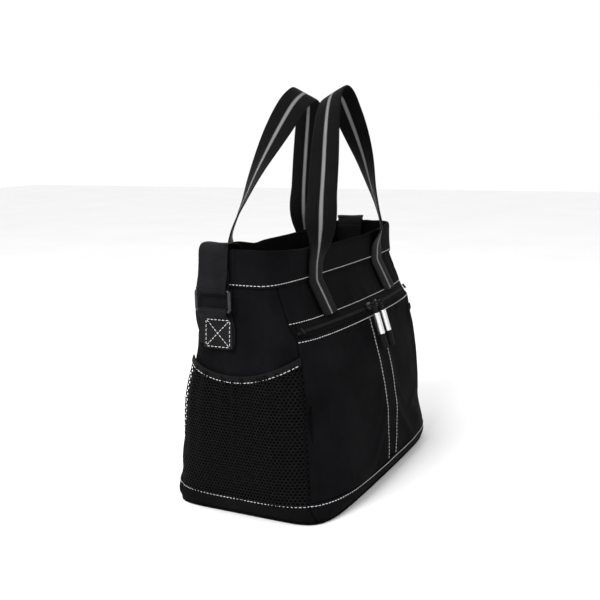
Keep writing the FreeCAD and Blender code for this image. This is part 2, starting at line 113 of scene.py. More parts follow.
# %% The rings, from foot to rim
half_length = high("right_base_band").x
half_depth = high("back_base_band").y
RINGS = [
    # height, half width, half depth, corner, bow, seam turn
    (foot_z, half_length - 7 * MM, half_depth - 6 * MM, 8.0, 0.03, 43.0),
    (band_z, half_length, half_depth, 4.4, 0.03, 39.0),
    (80 * MM, half_length, half_depth - 1 * MM, 3.9, 0.05, 39.0),
    (140 * MM, half_length - 1 * MM, half_depth - 9 * MM, 4.6, 0.08, 41.0),
    (zip_low_z, half_length - 4 * MM, half_depth - 27 * MM, 6.5, 0.13, 44.0),
    (zip_high_z, half_length - 5 * MM, half_depth - 40 * MM, 6.5, 0.13, 44.0),
    (collar_z, half_length - 8 * MM, half_depth - 62 * MM, 8.0, 0.12, 45.0),
    (rim_z, half_length - 8 * MM, half_depth - 63 * MM, 8.0, 0.12, 45.0),
]


def row_slopes(column):
    """Slopes that carry a smooth curve through the rings without overshoot."""
    steps = [
        (RINGS[i + 1][column] - RINGS[i][column]) / (RINGS[i + 1][0] - RINGS[i][0])
        for i in range(len(RINGS) - 1)
    ]
    slopes = [steps[0]]
    for before, after in zip(steps, steps[1:]):
        same_way = before * after > 0
        slopes.append(2 * before * after / (before + after) if same_way else 0.0)
    return slopes + [steps[-1]]


SLOPES = [row_slopes(column) for column in range(1, 6)]
SLUMP_HEIGHT = 185 * MM  # the soft back corner by the left pocket sinks in here
SLUMP_SPREAD = 42 * MM


def ring_at(height):
    """Half width, half depth, corner, bow and seam turn at a height."""
    height = min(max(height, RINGS[0][0]), RINGS[-1][0])
    i = max(k for k in range(len(RINGS) - 1) if RINGS[k][0] <= height)
    start, stop = RINGS[i], RINGS[i + 1]
    span = stop[0] - start[0]
    t = (height - start[0]) / span
    if start[0] >= zip_low_z:
        return [start[c] + (stop[c] - start[c]) * t for c in range(1, 6)]
    ring = []
    for c in range(1, 6):
        out_slope = SLOPES[c - 1][i]
        in_slope = (stop[c] - start[c]) / span if stop[0] >= zip_low_z else SLOPES[c - 1][i + 1]
        ring.append(
            start[c] * (2 * t**3 - 3 * t**2 + 1)
            + stop[c] * (3 * t**2 - 2 * t**3)
            + span * out_slope * (t**3 - 2 * t**2 + t)
            + span * in_slope * (t**3 - t**2)
        )
    return ring


def skin(turn, height, inset=0.0):
    """A point of the bag's outside, at a turn in degrees; 270 is the middle of the front."""
    wide, deep, corner, bow, _ = ring_at(height)
    across = math.cos(math.radians(turn))
    along = math.sin(math.radians(turn))
    reach = (abs(across) ** corner + abs(along) ** corner) ** (-1 / corner)
    flat = 1 - bow * (reach * across) ** 2
    slump = math.exp(-((height - SLUMP_HEIGHT) / SLUMP_SPREAD) ** 2)
    slump *= math.exp(-(((turn - 142) / 24) ** 2))
    return Vector(((wide - inset) * reach * across + 2.5 * MM * slump,
                   (deep - inset) * reach * along * flat - 9 * MM * slump, height))


def seam_turn(height):
    """How far the corner seams stand from the middle of an end, in degrees."""
    return ring_at(height)[4]


def outward(turn, height):
    """The direction straight out of the bag's side."""
    right = skin(turn + 0.5, height)
    left = skin(turn - 0.5, height)
    upper = skin(turn, min(height + MM, rim_z))
    lower = skin(turn, height - MM)
    return (right - left).cross(upper - lower).normalized()


print("widest ring in mm:", round(2 * max(r[1] for r in RINGS) / MM))

# %% [markdown]
# ## Grids of points become cloth
# Nearly every soft piece is a strip or a panel: rows of points with a face in each gap. The
# helper below also lays a flat pattern, a UV map measured in metres, so that a thread in the
# weave is the same size on a wide panel and on a narrow strap. Thickness comes from a Solidify
# modifier, and one level of subdivision rounds the result.


# %% The grid helper
def grid_mesh(name, rows, closed=False):
    """A mesh from rows of points, with a UV map in metres that starts mid-width."""
    table = np.array([[list(p) for p in row] for row in rows], float)
    tall, wide = table.shape[:2]
    ring = np.concatenate([table, table[:, :1]], axis=1) if closed else table
    across = np.linalg.norm(np.diff(ring, axis=1), axis=2)
    u = np.concatenate([np.zeros((tall, 1)), np.cumsum(across, axis=1)], axis=1)
    u -= u[:, -1:] / 2
    along = np.linalg.norm(np.diff(ring, axis=0), axis=2)
    v = np.concatenate([np.zeros((1, ring.shape[1])), np.cumsum(along, axis=0)], axis=0)
    faces, corners = [], []
    for j in range(tall - 1):
        for i in range(ring.shape[1] - 1):
            faces.append((j * wide + i, j * wide + (i + 1) % wide,
                          (j + 1) * wide + (i + 1) % wide, (j + 1) * wide + i))
            corners += [(j, i), (j, i + 1), (j + 1, i + 1), (j + 1, i)]
    mesh = bpy.data.meshes.new(name)
    mesh.from_pydata(table.reshape(-1, 3).tolist(), [], faces)
    layer = mesh.uv_layers.new(name="pattern")
    layer.data.foreach_set("uv", [value for j, i in corners for value in (u[j][i], v[j][i])])
    mesh.shade_smooth()
    return mesh


def add_piece(name, mesh, finish):
    """Put a mesh in the scene with its finish."""
    piece = bpy.data.objects.new(name, mesh)
    bpy.context.scene.collection.objects.link(piece)
    mesh.materials.append(finish)
    return piece


def thicken(piece, thickness, offset=-1.0, levels=1):
    """Give a sheet its thickness, then round it with subdivision."""
    solid = piece.modifiers.new("thickness", "SOLIDIFY")
    solid.thickness = thickness
    solid.offset = offset
    solid.use_even_offset = False
    if levels:
        round_off = piece.modifiers.new("round", "SUBSURF")
        round_off.levels = levels
        round_off.render_levels = levels
    return piece


def belongs(piece, body, slot, *nodes):
    """The piece moves with a body and stands for measured nodes; slot is not used."""
    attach(piece, body)
    if nodes:
        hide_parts(*nodes)
    return piece


# %% [markdown]
# ## Finishes
# Everything is black, so the bag is read by its textures: a fine woven cloth with a soft sheen,
# ribbed webbing, dull mesh, glossy coil and brushed metal. Each finish starts from the same
# shader, and small helpers wire up waves and noise for the weave.


# %% Shader helpers
def new_finish(name, roughness, colour, **sockets):
    """A node material with its fixed values set on the shader itself."""
    finish = bpy.data.materials.new(name)
    finish.use_nodes = True
    shader = finish.node_tree.nodes["Principled BSDF"]
    shader.inputs["Base Color"].default_value = (*colour, 1.0)
    shader.inputs["Roughness"].default_value = roughness
    for socket, value in sockets.items():
        shader.inputs[socket.replace("_", " ")].default_value = value
    return finish, finish.node_tree, shader


def node(tree, kind, **settings):
    made = tree.nodes.new(kind)
    for key, value in settings.items():
        setattr(made, key, value)
    return made


def math_node(tree, operation, first, second=0.0, third=None):
    """One sum on sockets or plain numbers."""
    made = node(tree, "ShaderNodeMath", operation=operation)
    for i, value in enumerate((first, second, third)):
        if value is None:
            continue
        if isinstance(value, (int, float)):
            made.inputs[i].default_value = value
        else:
            tree.links.new(value, made.inputs[i])
    return made.outputs[0]


def pattern_uv(tree):
    """The flat pattern's two directions, in metres: across and along."""
    uv = node(tree, "ShaderNodeUVMap", uv_map="pattern")
    split = node(tree, "ShaderNodeSeparateXYZ")
    tree.links.new(uv.outputs[0], split.inputs[0])
    return split.outputs[0], split.outputs[1]


def ripple(tree, socket, pitch):
    """A wave from 0 to 1 along a direction, one ripple to each pitch."""
    turns = math_node(tree, "MULTIPLY", socket, 2 * math.pi / pitch)
    wave = math_node(tree, "SINE", turns)
    return math_node(tree, "MULTIPLY_ADD", wave, 0.5, 0.5)


def cloud(tree, scale, detail=3.0, roughness=0.6):
    """Soft random variation over the object, from 0 to 1."""
    place = node(tree, "ShaderNodeTexCoord")
    made = node(tree, "ShaderNodeTexNoise")
    tree.links.new(place.outputs["Object"], made.inputs["Vector"])
    made.inputs["Scale"].default_value = scale
    made.inputs["Detail"].default_value = detail
    made.inputs["Roughness"].default_value = roughness
    return made.outputs[0]


def tint(tree, factor, dark, light):
    """A colour that runs from dark to light."""
    made = node(tree, "ShaderNodeValToRGB")
    made.color_ramp.elements[0].position = 0.3
    made.color_ramp.elements[0].color = (*dark, 1.0)
    made.color_ramp.elements[1].position = 0.7
    made.color_ramp.elements[1].color = (*light, 1.0)
    tree.links.new(factor, made.inputs[0])
    return made.outputs[0]


def vary(tree, factor, start, stop):
    """Map a 0 to 1 value to a range."""
    made = node(tree, "ShaderNodeMapRange")
    made.inputs["To Min"].default_value = start
    made.inputs["To Max"].default_value = stop
    tree.links.new(factor, made.inputs["Value"])
    return made.outputs[0]


def emboss(tree, shader, height, strength, distance):
    made = node(tree, "ShaderNodeBump")
    made.inputs["Strength"].default_value = strength
    made.inputs["Distance"].default_value = distance
    tree.links.new(height, made.inputs["Height"])
    tree.links.new(made.outputs[0], shader.inputs["Normal"])


# %% [markdown]
# ### Woven polyester
# Pack cloth is a plain weave: threads pass over and under in both directions. Two ripples at
# right angles, taken in turn, make the little bricks. A slow cloud lightens the cloth here and
# there, as handling does, and a slight sheen catches the light on curves.


# %% Woven cloth finishes
def woven(name, dark, light, pitch, roughness, sheen, depth):
    """Plain weave: warp and weft ripples that take turns on top."""
    finish, tree, shader = new_finish(name, roughness, dark, Sheen_Weight=sheen,
                                      Sheen_Roughness=0.4, Specular_IOR_Level=0.005)
    across, along = pattern_uv(tree)
    warp = ripple(tree, across, pitch)
    weft = ripple(tree, along, pitch)
    over = math_node(tree, "MAXIMUM", warp, weft)
    fuzz = cloud(tree, 900.0, 2.0)
    height = math_node(tree, "MULTIPLY_ADD", fuzz, 0.5, over)
    emboss(tree, shader, height, depth, 0.00025)
    worn = cloud(tree, 14.0, 5.0)
    tree.links.new(tint(tree, worn, dark, light), shader.inputs["Base Color"])
    tree.links.new(vary(tree, worn, roughness + 0.07, roughness - 0.07), shader.inputs["Roughness"])
    return finish


polyester = woven("woven_polyester", (0.0032, 0.0032, 0.0036), (0.0062, 0.0061, 0.0069),
                  0.9 * MM, 0.62, 0.0, 0.5)
lining = woven("lining_cloth", (0.002, 0.002, 0.0022), (0.0036, 0.0036, 0.004),
               0.7 * MM, 0.8, 0.0, 0.3)
zip_cloth = woven("zip_tape_cloth", (0.0028, 0.0028, 0.0032), (0.005, 0.005, 0.0055),
                  0.6 * MM, 0.65, 0.01, 0.4)

# %% [markdown]
# ### Webbing
# Strap webbing is woven thick, with ribs across its width. The handles also carry a pale zigzag
# down the middle, sewn on both faces. Its place is worked out from the pattern's own two
# directions: the zigzag is a triangle wave, and the thread is where a point lies close to it.


# %% Webbing finishes
def webbing_finish(name, rib, stripe_half=0.0):
    finish, tree, shader = new_finish(name, 0.5, (0.006, 0.006, 0.007), Sheen_Weight=0.005,
                                      Sheen_Roughness=0.35, Specular_IOR_Level=0.03)
    across, along = pattern_uv(tree)
    ribs = ripple(tree, along, rib)
    strands = ripple(tree, across, 1.1 * MM)
    height = math_node(tree, "MULTIPLY_ADD", strands, 0.35, ribs)
    worn = cloud(tree, 22.0, 4.0)
    depth = 0.4 if stripe_half else 1.0
    dark = tint(tree, worn, (0.0045 * depth, 0.0043 * depth, 0.005 * depth),
                (0.0095 * depth, 0.0092 * depth, 0.0104 * depth))
    if stripe_half:
        pitch = 2.6 * MM
        saw = math_node(tree, "PINGPONG", along, pitch / 2)
        swing = math_node(tree, "MULTIPLY_ADD", saw, 4 * stripe_half / pitch, -stripe_half)
        off_line = math_node(tree, "ABSOLUTE", math_node(tree, "SUBTRACT", across, swing))
        thread = node(tree, "ShaderNodeMapRange", interpolation_type="SMOOTHSTEP")
        thread.inputs["From Min"].default_value = 1.0 * MM
        thread.inputs["From Max"].default_value = 0.6 * MM
        tree.links.new(off_line, thread.inputs["Value"])
        mix = node(tree, "ShaderNodeMix", data_type="RGBA")
        tree.links.new(thread.outputs[0], mix.inputs[0])
        tree.links.new(dark, mix.inputs[6])
        mix.inputs[7].default_value = (0.46, 0.46, 0.45, 1.0)
        tree.links.new(mix.outputs[2], shader.inputs["Base Color"])
        height = math_node(tree, "MULTIPLY_ADD", thread.outputs[0], 1.4, height)
    else:
        tree.links.new(dark, shader.inputs["Base Color"])
    emboss(tree, shader, height, 0.6, 0.0004)
    return finish


strap_webbing = webbing_finish("ribbed_webbing", 2.4 * MM)
handle_webbing = webbing_finish("striped_webbing", 1.5 * MM, stripe_half=2.1 * MM)

# %% [markdown]
# ### The small finishes
# Elastic binding is ribbed lengthwise. The coil and the rings are glossy and nearly black, with
# fine scratches in the roughness. The pull barrels are turned aluminium, so their brushing runs
# round them. The thread is pale grey and a little fuzzy.


# %% Elastic, mesh, thread, coil, metal and board
def plain_finish(name, dark, light, roughness, spread, scale, depth=0.2, **sockets):
    """A finish whose colour, gloss and surface all follow one cloud."""
    finish, tree, shader = new_finish(name, roughness, dark, **sockets)
    marks = cloud(tree, scale, 5.0)
    tree.links.new(tint(tree, marks, dark, light), shader.inputs["Base Color"])
    tree.links.new(vary(tree, marks, roughness - spread, roughness + spread),
                   shader.inputs["Roughness"])
    emboss(tree, shader, cloud(tree, scale * 12.0, 2.0), depth, 0.0002)
    return finish


def elastic_finish():
    finish, tree, shader = new_finish("elastic_binding", 0.6, (0.004, 0.004, 0.0045),
                                      Specular_IOR_Level=0.05)
    across, along = pattern_uv(tree)
    ribs = ripple(tree, along, 1.3 * MM)
    crimps = ripple(tree, across, 1.6 * MM)
    emboss(tree, shader, math_node(tree, "MULTIPLY_ADD", crimps, 0.5, ribs), 0.6, 0.0004)
    marks = cloud(tree, 60.0)
    tree.links.new(tint(tree, marks, (0.003, 0.003, 0.0035), (0.006, 0.006, 0.0068)),
                   shader.inputs["Base Color"])
    return finish


def brushed_finish():
    finish, tree, shader = new_finish("brushed_barrel", 0.3, (0.72, 0.72, 0.73), Metallic=1.0)
    place = node(tree, "ShaderNodeTexCoord")
    squeeze = node(tree, "ShaderNodeMapping")
    squeeze.inputs["Scale"].default_value = (60.0, 60.0, 2500.0)
    tree.links.new(place.outputs["Object"], squeeze.inputs["Vector"])
    lines = node(tree, "ShaderNodeTexNoise")
    lines.inputs["Scale"].default_value = 1.0
    lines.inputs["Detail"].default_value = 3.0
    tree.links.new(squeeze.outputs[0], lines.inputs["Vector"])
    tree.links.new(vary(tree, lines.outputs[0], 0.22, 0.42), shader.inputs["Roughness"])
    tree.links.new(tint(tree, lines.outputs[0], (0.6, 0.6, 0.61), (0.8, 0.8, 0.81)),
                   shader.inputs["Base Color"])
    emboss(tree, shader, lines.outputs[0], 0.15, 0.00005)
    return finish


elastic = elastic_finish()
brushed = brushed_finish()
mesh_knit = plain_finish("mesh_knit", (0.0028, 0.0028, 0.0031), (0.006, 0.006, 0.0066), 0.6, 0.08, 180.0,
                         Specular_IOR_Level=0.02)
thread = plain_finish("pale_thread", (0.40, 0.40, 0.39), (0.60, 0.60, 0.58), 0.65, 0.08, 300.0, 0.5)
coil = plain_finish("zip_coil", (0.004, 0.004, 0.0044), (0.008, 0.008, 0.009), 0.45, 0.08, 120.0,
                    Specular_IOR_Level=0.06)
black_metal = plain_finish("black_plated_metal", (0.008, 0.008, 0.0085), (0.018, 0.018, 0.019), 0.26, 0.1,
                           90.0, 0.1, Specular_IOR_Level=0.3)
board = plain_finish("base_board_sheet", (0.008, 0.008, 0.008), (0.014, 0.014, 0.014), 0.6, 0.1, 40.0,
                     Specular_IOR_Level=0.2)
cord_cloth = plain_finish("braided_cord", (0.004, 0.004, 0.0045), (0.009, 0.009, 0.010), 0.6, 0.1, 500.0,
                          0.8, Specular_IOR_Level=0.05)
print("finishes:", len(bpy.data.materials))

# %% [markdown]
# ## The camera and the light
# The bag is seen from its left end, a little above, with the front turning away to the right.
# A wide soft light stands high on the left, a weaker one fills low from the front left, and a
# third behind draws the edges of the handles.

# %% Camera
CAMERA_PLACE = Vector((-998.6, -481.0, 419.2)) * MM
CAMERA_YAW, CAMERA_PITCH, CAMERA_ROLL = (math.radians(a) for a in (63.59, -10.31, -0.82))
CAMERA_LENS = 52.8


def point_camera():
    """Aim by yaw, pitch and roll, as on a tripod head."""
    ahead = Vector((math.sin(CAMERA_YAW) * math.cos(CAMERA_PITCH),
                    math.cos(CAMERA_YAW) * math.cos(CAMERA_PITCH), math.sin(CAMERA_PITCH)))
    level = Vector((math.cos(CAMERA_YAW), -math.sin(CAMERA_YAW), 0.0))
    above = level.cross(ahead)
    right = level * math.cos(CAMERA_ROLL) + above * math.sin(CAMERA_ROLL)
    top = above * math.cos(CAMERA_ROLL) - level * math.sin(CAMERA_ROLL)
    data = bpy.data.cameras.new("camera")
    data.lens = CAMERA_LENS
    data.sensor_width = 36.0
    camera = bpy.data.objects.new("camera", data)
    bpy.context.scene.collection.objects.link(camera)
    rows = [[right[i], top[i], -ahead[i], CAMERA_PLACE[i]] for i in range(3)]
    camera.matrix_world = Matrix(rows + [[0.0, 0.0, 0.0, 1.0]])
    return camera


camera = point_camera()
bpy.context.scene.camera = camera
print("camera", [round(c, 3) for c in camera.location], "lens", camera.data.lens)

# %% Floor and soft lights
def stage_finish():
    finish, tree, shader = new_finish("pale_floor", 0.9, (0.9, 0.9, 0.9), Specular_IOR_Level=0.1)
    tree.links.new(tint(tree, cloud(tree, 3.0), (0.89, 0.89, 0.89), (0.92, 0.92, 0.92)),
                   shader.inputs["Base Color"])
    return finish


def make_floor():
    mesh = grid_mesh("floor", [[(x, y, -0.4 * MM) for x in (-6, 6)] for y in (-6, 6)])
    floor = add_piece("floor", mesh, stage_finish())


def add_light(name, place, aim, size, watts):
    """A square soft box that faces a point."""
    data = bpy.data.lights.new(name, "AREA")
    data.size = size
    data.energy = watts
    light = bpy.data.objects.new(name, data)
    light.location = place
    light.rotation_euler = (Vector(aim) - Vector(place)).to_track_quat("-Z", "Y").to_euler()
    bpy.context.scene.collection.objects.link(light)


make_floor()
add_light("key", (-1.5, 0.2, 1.5), (0, 0, 0.2), 0.9, 34)
add_light("fill", (-1.3, -1.5, 0.5), (0, 0, 0.2), 1.2, 4)
add_light("edge", (-0.4, 1.4, 1.4), (0, 0, 0.3), 0.9, 5)
world = bpy.data.worlds.new("studio")
world.use_nodes = True
world.node_tree.nodes["Background"].inputs["Color"].default_value = (1, 1, 1, 1)
world.node_tree.nodes["Background"].inputs["Strength"].default_value = 1.0
bpy.context.scene.world = world
bpy.context.scene.view_settings.view_transform = "Standard"

# %% [markdown]
# ## The foot: base and band
# The bottom is a flat cloth-covered sheet, and a band of doubled cloth runs round it, 24 mm
# high, with a seam at each corner. The band rolls under at its lower edge, which softens the
# bag's outline on the ground. Its top edge lies over the panels above and is sewn down.

# %% Base panel, board and band
SIDES = {
    "front": lambda z: (180 + seam_turn(z), 360 - seam_turn(z)),
    "right": lambda z: (-seam_turn(z), seam_turn(z)),
    "back": lambda z: (seam_turn(z), 180 - seam_turn(z)),
    "left": lambda z: (180 - seam_turn(z), 180 + seam_turn(z)),
}
COLUMNS = {"front": 90, "right": 44, "back": 90, "left": 44}
BAND_PROFILE = [(11.0, 0.4), (7.0, 0.8), (4.0, 2.2), (2.0, 4.8), (0.8, 9.0), (0.0, 14.0),
                (-0.4, 19.0), (-0.8, 23.6), (-0.7, 25.4)]
CORNER_TUCK = 0.9 * MM


def spread(start, stop, count):
    return [start + (stop - start) * i / count for i in range(count + 1)]


def tucked(share, width_share=0.03):
    """How deep a seam pulls the cloth in: 1 at either edge, 0 a little way inside."""
    edge = min(share, 1 - share) / width_share
    return max(0.0, 1 - edge) ** 2


def band_row(side, inset, z):
    span = SIDES[side](max(z, foot_z))
    count = COLUMNS[side]
    row = []
    for i, turn in enumerate(spread(*span, count)):
        wobble = 0.5 * MM * noise.noise(Vector((turn / 9, z * 60, 3.0)))
        point = skin(turn, max(z, foot_z), inset + wobble + CORNER_TUCK * tucked(i / count))
        point.z = z
        row.append(point)
    return row


for side in SIDES:
    rows = [band_row(side, inset * MM, z * MM) for inset, z in BAND_PROFILE]
    band = add_piece(side + "_band_cloth", grid_mesh(side + "_band", rows), polyester)
    thicken(band, 1.8 * MM)
    belongs(band, "bag", "polyester", side + "_base_band")


def plate(name, inset, bottom, top, finish):
    """A flat sheet with the foot's outline and a rounded edge."""
    turns = spread(0, 360, 120)[:-1]
    rows = []
    for share, z in ((0.0, bottom), (0.5, bottom), (0.97, bottom), (1.0, bottom + 0.6 * MM),
                     (1.0, top - 0.6 * MM), (0.97, top), (0.5, top), (0.0, top)):
        rows.append([])
        for turn in turns:
            edge = skin(turn, foot_z, inset)
            rows[-1].append(Vector((edge.x * max(share, 0.01), edge.y * max(share, 0.01), z)))
    return add_piece(name, grid_mesh(name, rows, closed=True), finish)


bottom_cloth = plate("bottom_cloth", 3 * MM, 0.0, 2.4 * MM, polyester)
belongs(bottom_cloth, "bag", "polyester", "base_panel")
stiffener = plate("stiffening_board", 8 * MM, 3.3 * MM, 6.2 * MM, board)
belongs(stiffener, "bag", "board", "base_board")
print("foot pieces:", len(SIDES) + 2)

# %% [markdown]
# ## The panels
# Each wall is cut as one flat panel and sewn at its edges, so it is held tight along the seams
# and free in the middle. The grid gives the sewn shape, and a short cloth simulation lets the
# free part relax: a little extra cloth, a slight push from inside and some gravity make the
# shallow dents and the soft crowning that flat plates never have. The edges are pinned, so that
# neighbours still meet.

# %% Panel grids
SIDE_STAND_BACK = 9 * MM
POCKET_RISE = 158 * MM


def mesh_room(turn, height, seam):
    """How far an end wall stands behind its mesh pocket."""
    from_middle = (turn + 90) % 180 - 90
    across = 1 - (from_middle / seam) ** 2
    fade = min(max((POCKET_RISE - height) / (70 * MM), 0.0), 1.0)
    return SIDE_STAND_BACK * across * fade * fade * (3 - 2 * fade)


def panel_rows(span, bottom, top, columns, count, inset=0.0, room=None):
    rows = []
    for j, z in enumerate(spread(bottom, top, count)):
        start, stop = span(z)
        row = []
        for i, turn in enumerate(spread(start, stop, columns)):
            sunk = inset + CORNER_TUCK * max(tucked(i / columns, 2.2 / columns),
                                             tucked(j / count, 1.6 / count))
            if room:
                sunk += room(turn, z, seam_turn(z))
            row.append(skin(turn, z, sunk))
        rows.append(row)
    return rows


def strip_turn(z, sign, half_width):
    """The turn where the pocket's centre strip meets a front panel."""
    return 270 + sign * math.degrees(math.asin(half_width / ring_at(z)[0]))


STRIP_HALF = 10.5 * MM


def strip_edge(z, sign):
    """The strip's half width, which grows on the right above the base."""
    return STRIP_HALF + (7 * MM * min(max((z - band_z) / (50 * MM), 0.0), 1.0) if sign > 0 else 0)


panel_plan = {
    "pocket_left_cloth": (lambda z: (SIDES["front"](z)[0], strip_turn(z, -1, strip_edge(z, -1))),
                          band_z, zip_low_z + 1.5 * MM, 40, 46, 0.0, None,
                          "pocket_left_panel", polyester, "polyester"),
    "pocket_right_cloth": (lambda z: (strip_turn(z, 1, strip_edge(z, 1)), SIDES["front"](z)[1]),
                           band_z, zip_low_z + 1.5 * MM, 40, 46, 0.0, None,
                           "pocket_right_panel", polyester, "polyester"),
    "shoulder_cloth": (SIDES["front"], zip_high_z - 1 * MM, collar_z + 2 * MM, 84, 14, 0.0, None,
                       "front_yoke", polyester, "polyester"),
    "compartment_front_cloth": (SIDES["front"], band_z, zip_high_z, 60, 40, 5.5 * MM, None,
                                "front_wall", lining, "lining"),
    "back_cloth": (SIDES["back"], band_z, collar_z + 2 * MM, 84, 58, 0.0, None,
                   "back_panel", polyester, "polyester"),
    "left_end_cloth": (SIDES["left"], band_z, collar_z + 2 * MM, 40, 58, 0.0, mesh_room,
                       "left_side_panel", polyester, "polyester"),
    "right_end_cloth": (SIDES["right"], band_z, collar_z + 2 * MM, 40, 58, 0.0, mesh_room,
                        "right_side_panel", polyester, "polyester"),
}

panels = {}
for name, (span, bottom, top, columns, count, inset, room, cad, finish, slot) in panel_plan.items():
    mesh = grid_mesh(name, panel_rows(span, bottom, top, columns, count, inset, room))
    panels[name] = add_piece(name, mesh, finish)
    panels[name]["columns"], panels[name]["rows"] = columns + 1, count + 1
print("panels:", len(panels), "points:", sum(len(p.data.vertices) for p in panels.values()))

# %% [markdown]
# ## Letting the cloth relax
# All the panels are simulated together, because stepping the clock moves every cloth in the
# scene at once. After a few frames each panel's points are read back, no point is allowed to
# move further than a cap, and the simulation is taken off again, so what stays is plain mesh.


# %% Cloth simulation
SETTLE_FRAMES = 14
LOOSENESS = {  # push from inside, extra cloth, furthest a point may move
    "pocket_left_cloth": (1.1, 0.012, 5.0 * MM),
    "pocket_right_cloth": (1.1, 0.012, 5.0 * MM),
    "shoulder_cloth": (0.6, 0.010, 2.5 * MM),
    "back_cloth": (0.9, 0.014, 6.0 * MM),
    "left_end_cloth": (0.5, 0.012, 3.0 * MM),
    "right_end_cloth": (0.5, 0.012, 3.0 * MM),
}


def prepare_cloth(piece, push, extra):
    columns, rows = piece["columns"], piece["rows"]
    held = [k for k in range(columns * rows)
            if k % columns in (0, columns - 1) or k // columns in (0, rows - 1)]
    group = piece.vertex_groups.new(name="sewn")
    group.add(held, 1.0, "REPLACE")
    cloth = piece.modifiers.new("relax", "CLOTH")
    settings = cloth.settings
    settings.quality = 6
    settings.mass = 0.12
    settings.tension_stiffness = 25
    settings.compression_stiffness = 25
    settings.shear_stiffness = 8
    settings.bending_stiffness = 0.6
    settings.vertex_group_mass = "sewn"
    settings.shrink_min = -extra
    settings.use_pressure = True
    settings.uniform_pressure_force = push
    settings.effector_weights.gravity = 0.35
    cloth.collision_settings.use_self_collision = False
    cloth.collision_settings.use_collision = False


def settle(names):
    """Run the clock, then keep each panel's relaxed shape within its cap."""
    for name in names:
        push, extra, _ = LOOSENESS[name]
        prepare_cloth(panels[name], push, extra)
    scene = bpy.context.scene
    for step in range(1, SETTLE_FRAMES + 1):
        scene.frame_set(step)
    view = bpy.context.evaluated_depsgraph_get()
    for name in names:
        piece = panels[name]
        count = len(piece.data.vertices)
        rest = np.empty(count * 3)
        piece.data.vertices.foreach_get("co", rest)
        moved = np.empty(count * 3)
        piece.evaluated_get(view).data.vertices.foreach_get("co", moved)
        rest, moved = rest.reshape(-1, 3), moved.reshape(-1, 3)
        shift = moved - rest
        length = np.linalg.norm(shift, axis=1, keepdims=True)
        cap = LOOSENESS[name][2]
        limited = shift * (cap * np.tanh(length / cap) / np.maximum(length, 1e-9))
        piece.modifiers.clear()
        piece.data.vertices.foreach_set("co", (rest + limited).ravel())
        piece.data.update()
        print(name, "moved up to", round(float(length.max()) / MM, 1), "mm, kept",
              round(float(np.linalg.norm(limited, axis=1).max()) / MM, 1))
    scene.frame_set(1)


settle(list(LOOSENESS))

for name, plan in panel_plan.items():
    thicken(panels[name], 1.6 * MM)
    belongs(panels[name], "bag", plan[9], plan[7])

# %% [markdown]
# ## The centre strip
# A narrow pleat runs down the middle of the pocket, set back between two rows of stitching, so
# it reads as a dark groove. It is a strip of the same cloth, a little deeper than its
# neighbours, with its edges tucked behind them.

# %% Centre strip
strip_rows = []
for z in spread(band_z, zip_low_z + 1.5 * MM, 60):
    edge = 3.0 * MM
    row = []
    for share in spread(-1, 1, 12):
        half = strip_edge(z, share) + edge
        depth = 1.4 * MM + 0.8 * MM * (1 - share**2) ** 2
        depth += 0.5 * MM * noise.noise(Vector((share * 1.5, z * 30, 8.0)))
        row.append(skin(strip_turn(z, share, half) if share >= 0 else strip_turn(z, -1, -share * half),
                        z, depth))
    strip_rows.append(row)
strip = add_piece("pocket_strip_cloth", grid_mesh("pocket_strip", strip_rows), polyester)
thicken(strip, 1.2 * MM)
belongs(strip, "bag", "polyester", "pocket_centre_strip")

# %% [markdown]
# ## The collar
# The mouth is finished with a collar: a wide strip folded in half over the rim. The fold is
# round, the outside lies over the shoulder, and the collar hangs a little lower between the
# handles and the ends, where nothing holds it up.

# %% Collar
COLLAR_SAG = 8.5 * MM
COLLAR_OUT = [(-1.1, 0.0), (-1.4, 0.08), (-0.9, 0.3), (-0.6, 0.6), (-0.8, 0.86), (-0.5, 0.955),
              (0.8, 0.99), (1.6, 1.0), (2.6, 0.985), (3.4, 0.94), (3.5, 0.8), (3.3, 0.45), (3.2, 0.02)]


def smooth(share):
    share = min(max(share, 0.0), 1.0)
    return share * share * (3 - 2 * share)


def rim_drop(turn):
    """How far the rim sags below its ends."""
    place = skin(turn, rim_z)
    along = place.x / half_length
    sag = COLLAR_SAG * max(0.0, 1 - along * along) ** 0.8
    if place.y < 0:
        return sag
    bump = math.exp(-((place.x + 105 * MM) / (24 * MM)) ** 2)
    dip = math.exp(-((place.x + 52 * MM) / (18 * MM)) ** 2)
    return sag - 3.6 * MM * bump + 2.4 * MM * dip


def collar_point(turn, out, rise):
    base = collar_z - 1.5 * MM
    top = rim_z - rim_drop(turn) + 0.7 * MM * noise.noise(Vector((turn / 14, 2.0, 0.0)))
    z = base + (top - base) * rise
    wave = 1.3 * MM * rise * noise.noise(Vector((turn / 16, 7.0, rise)))
    point = skin(turn, min(z, rim_z), out * MM + wave)
    point.z = z
    return point


for side, turns in (("front", spread(180, 360, 150)), ("back", spread(0, 180, 150))):
    rows = [[collar_point(turn, out, rise) for turn in turns] for out, rise in COLLAR_OUT]
    collar = add_piece(side + "_collar_cloth", grid_mesh(side + "_collar", rows), polyester)
    thicken(collar, 1.0 * MM, offset=0.0)
    belongs(collar, "bag", "polyester", side + "_rim_hem")
print("collar sags", COLLAR_SAG / MM, "mm")


# %% [markdown]
# ## Bound seams
# Inside the bag, a narrow tape covers each raw seam: one at each corner, and one right round
# under the collar. A wider facing backs the shoulder above the zip, where the lining stops.
# Without them light would show through the joins.

# %% Seam tape
TAPE_INSET = 2.4 * MM
COLLAR_TAPE_INSET = TAPE_INSET + 1.6 * MM
FACING_INSET = 5.4 * MM
TAPE_HALF_TURN = 2.8


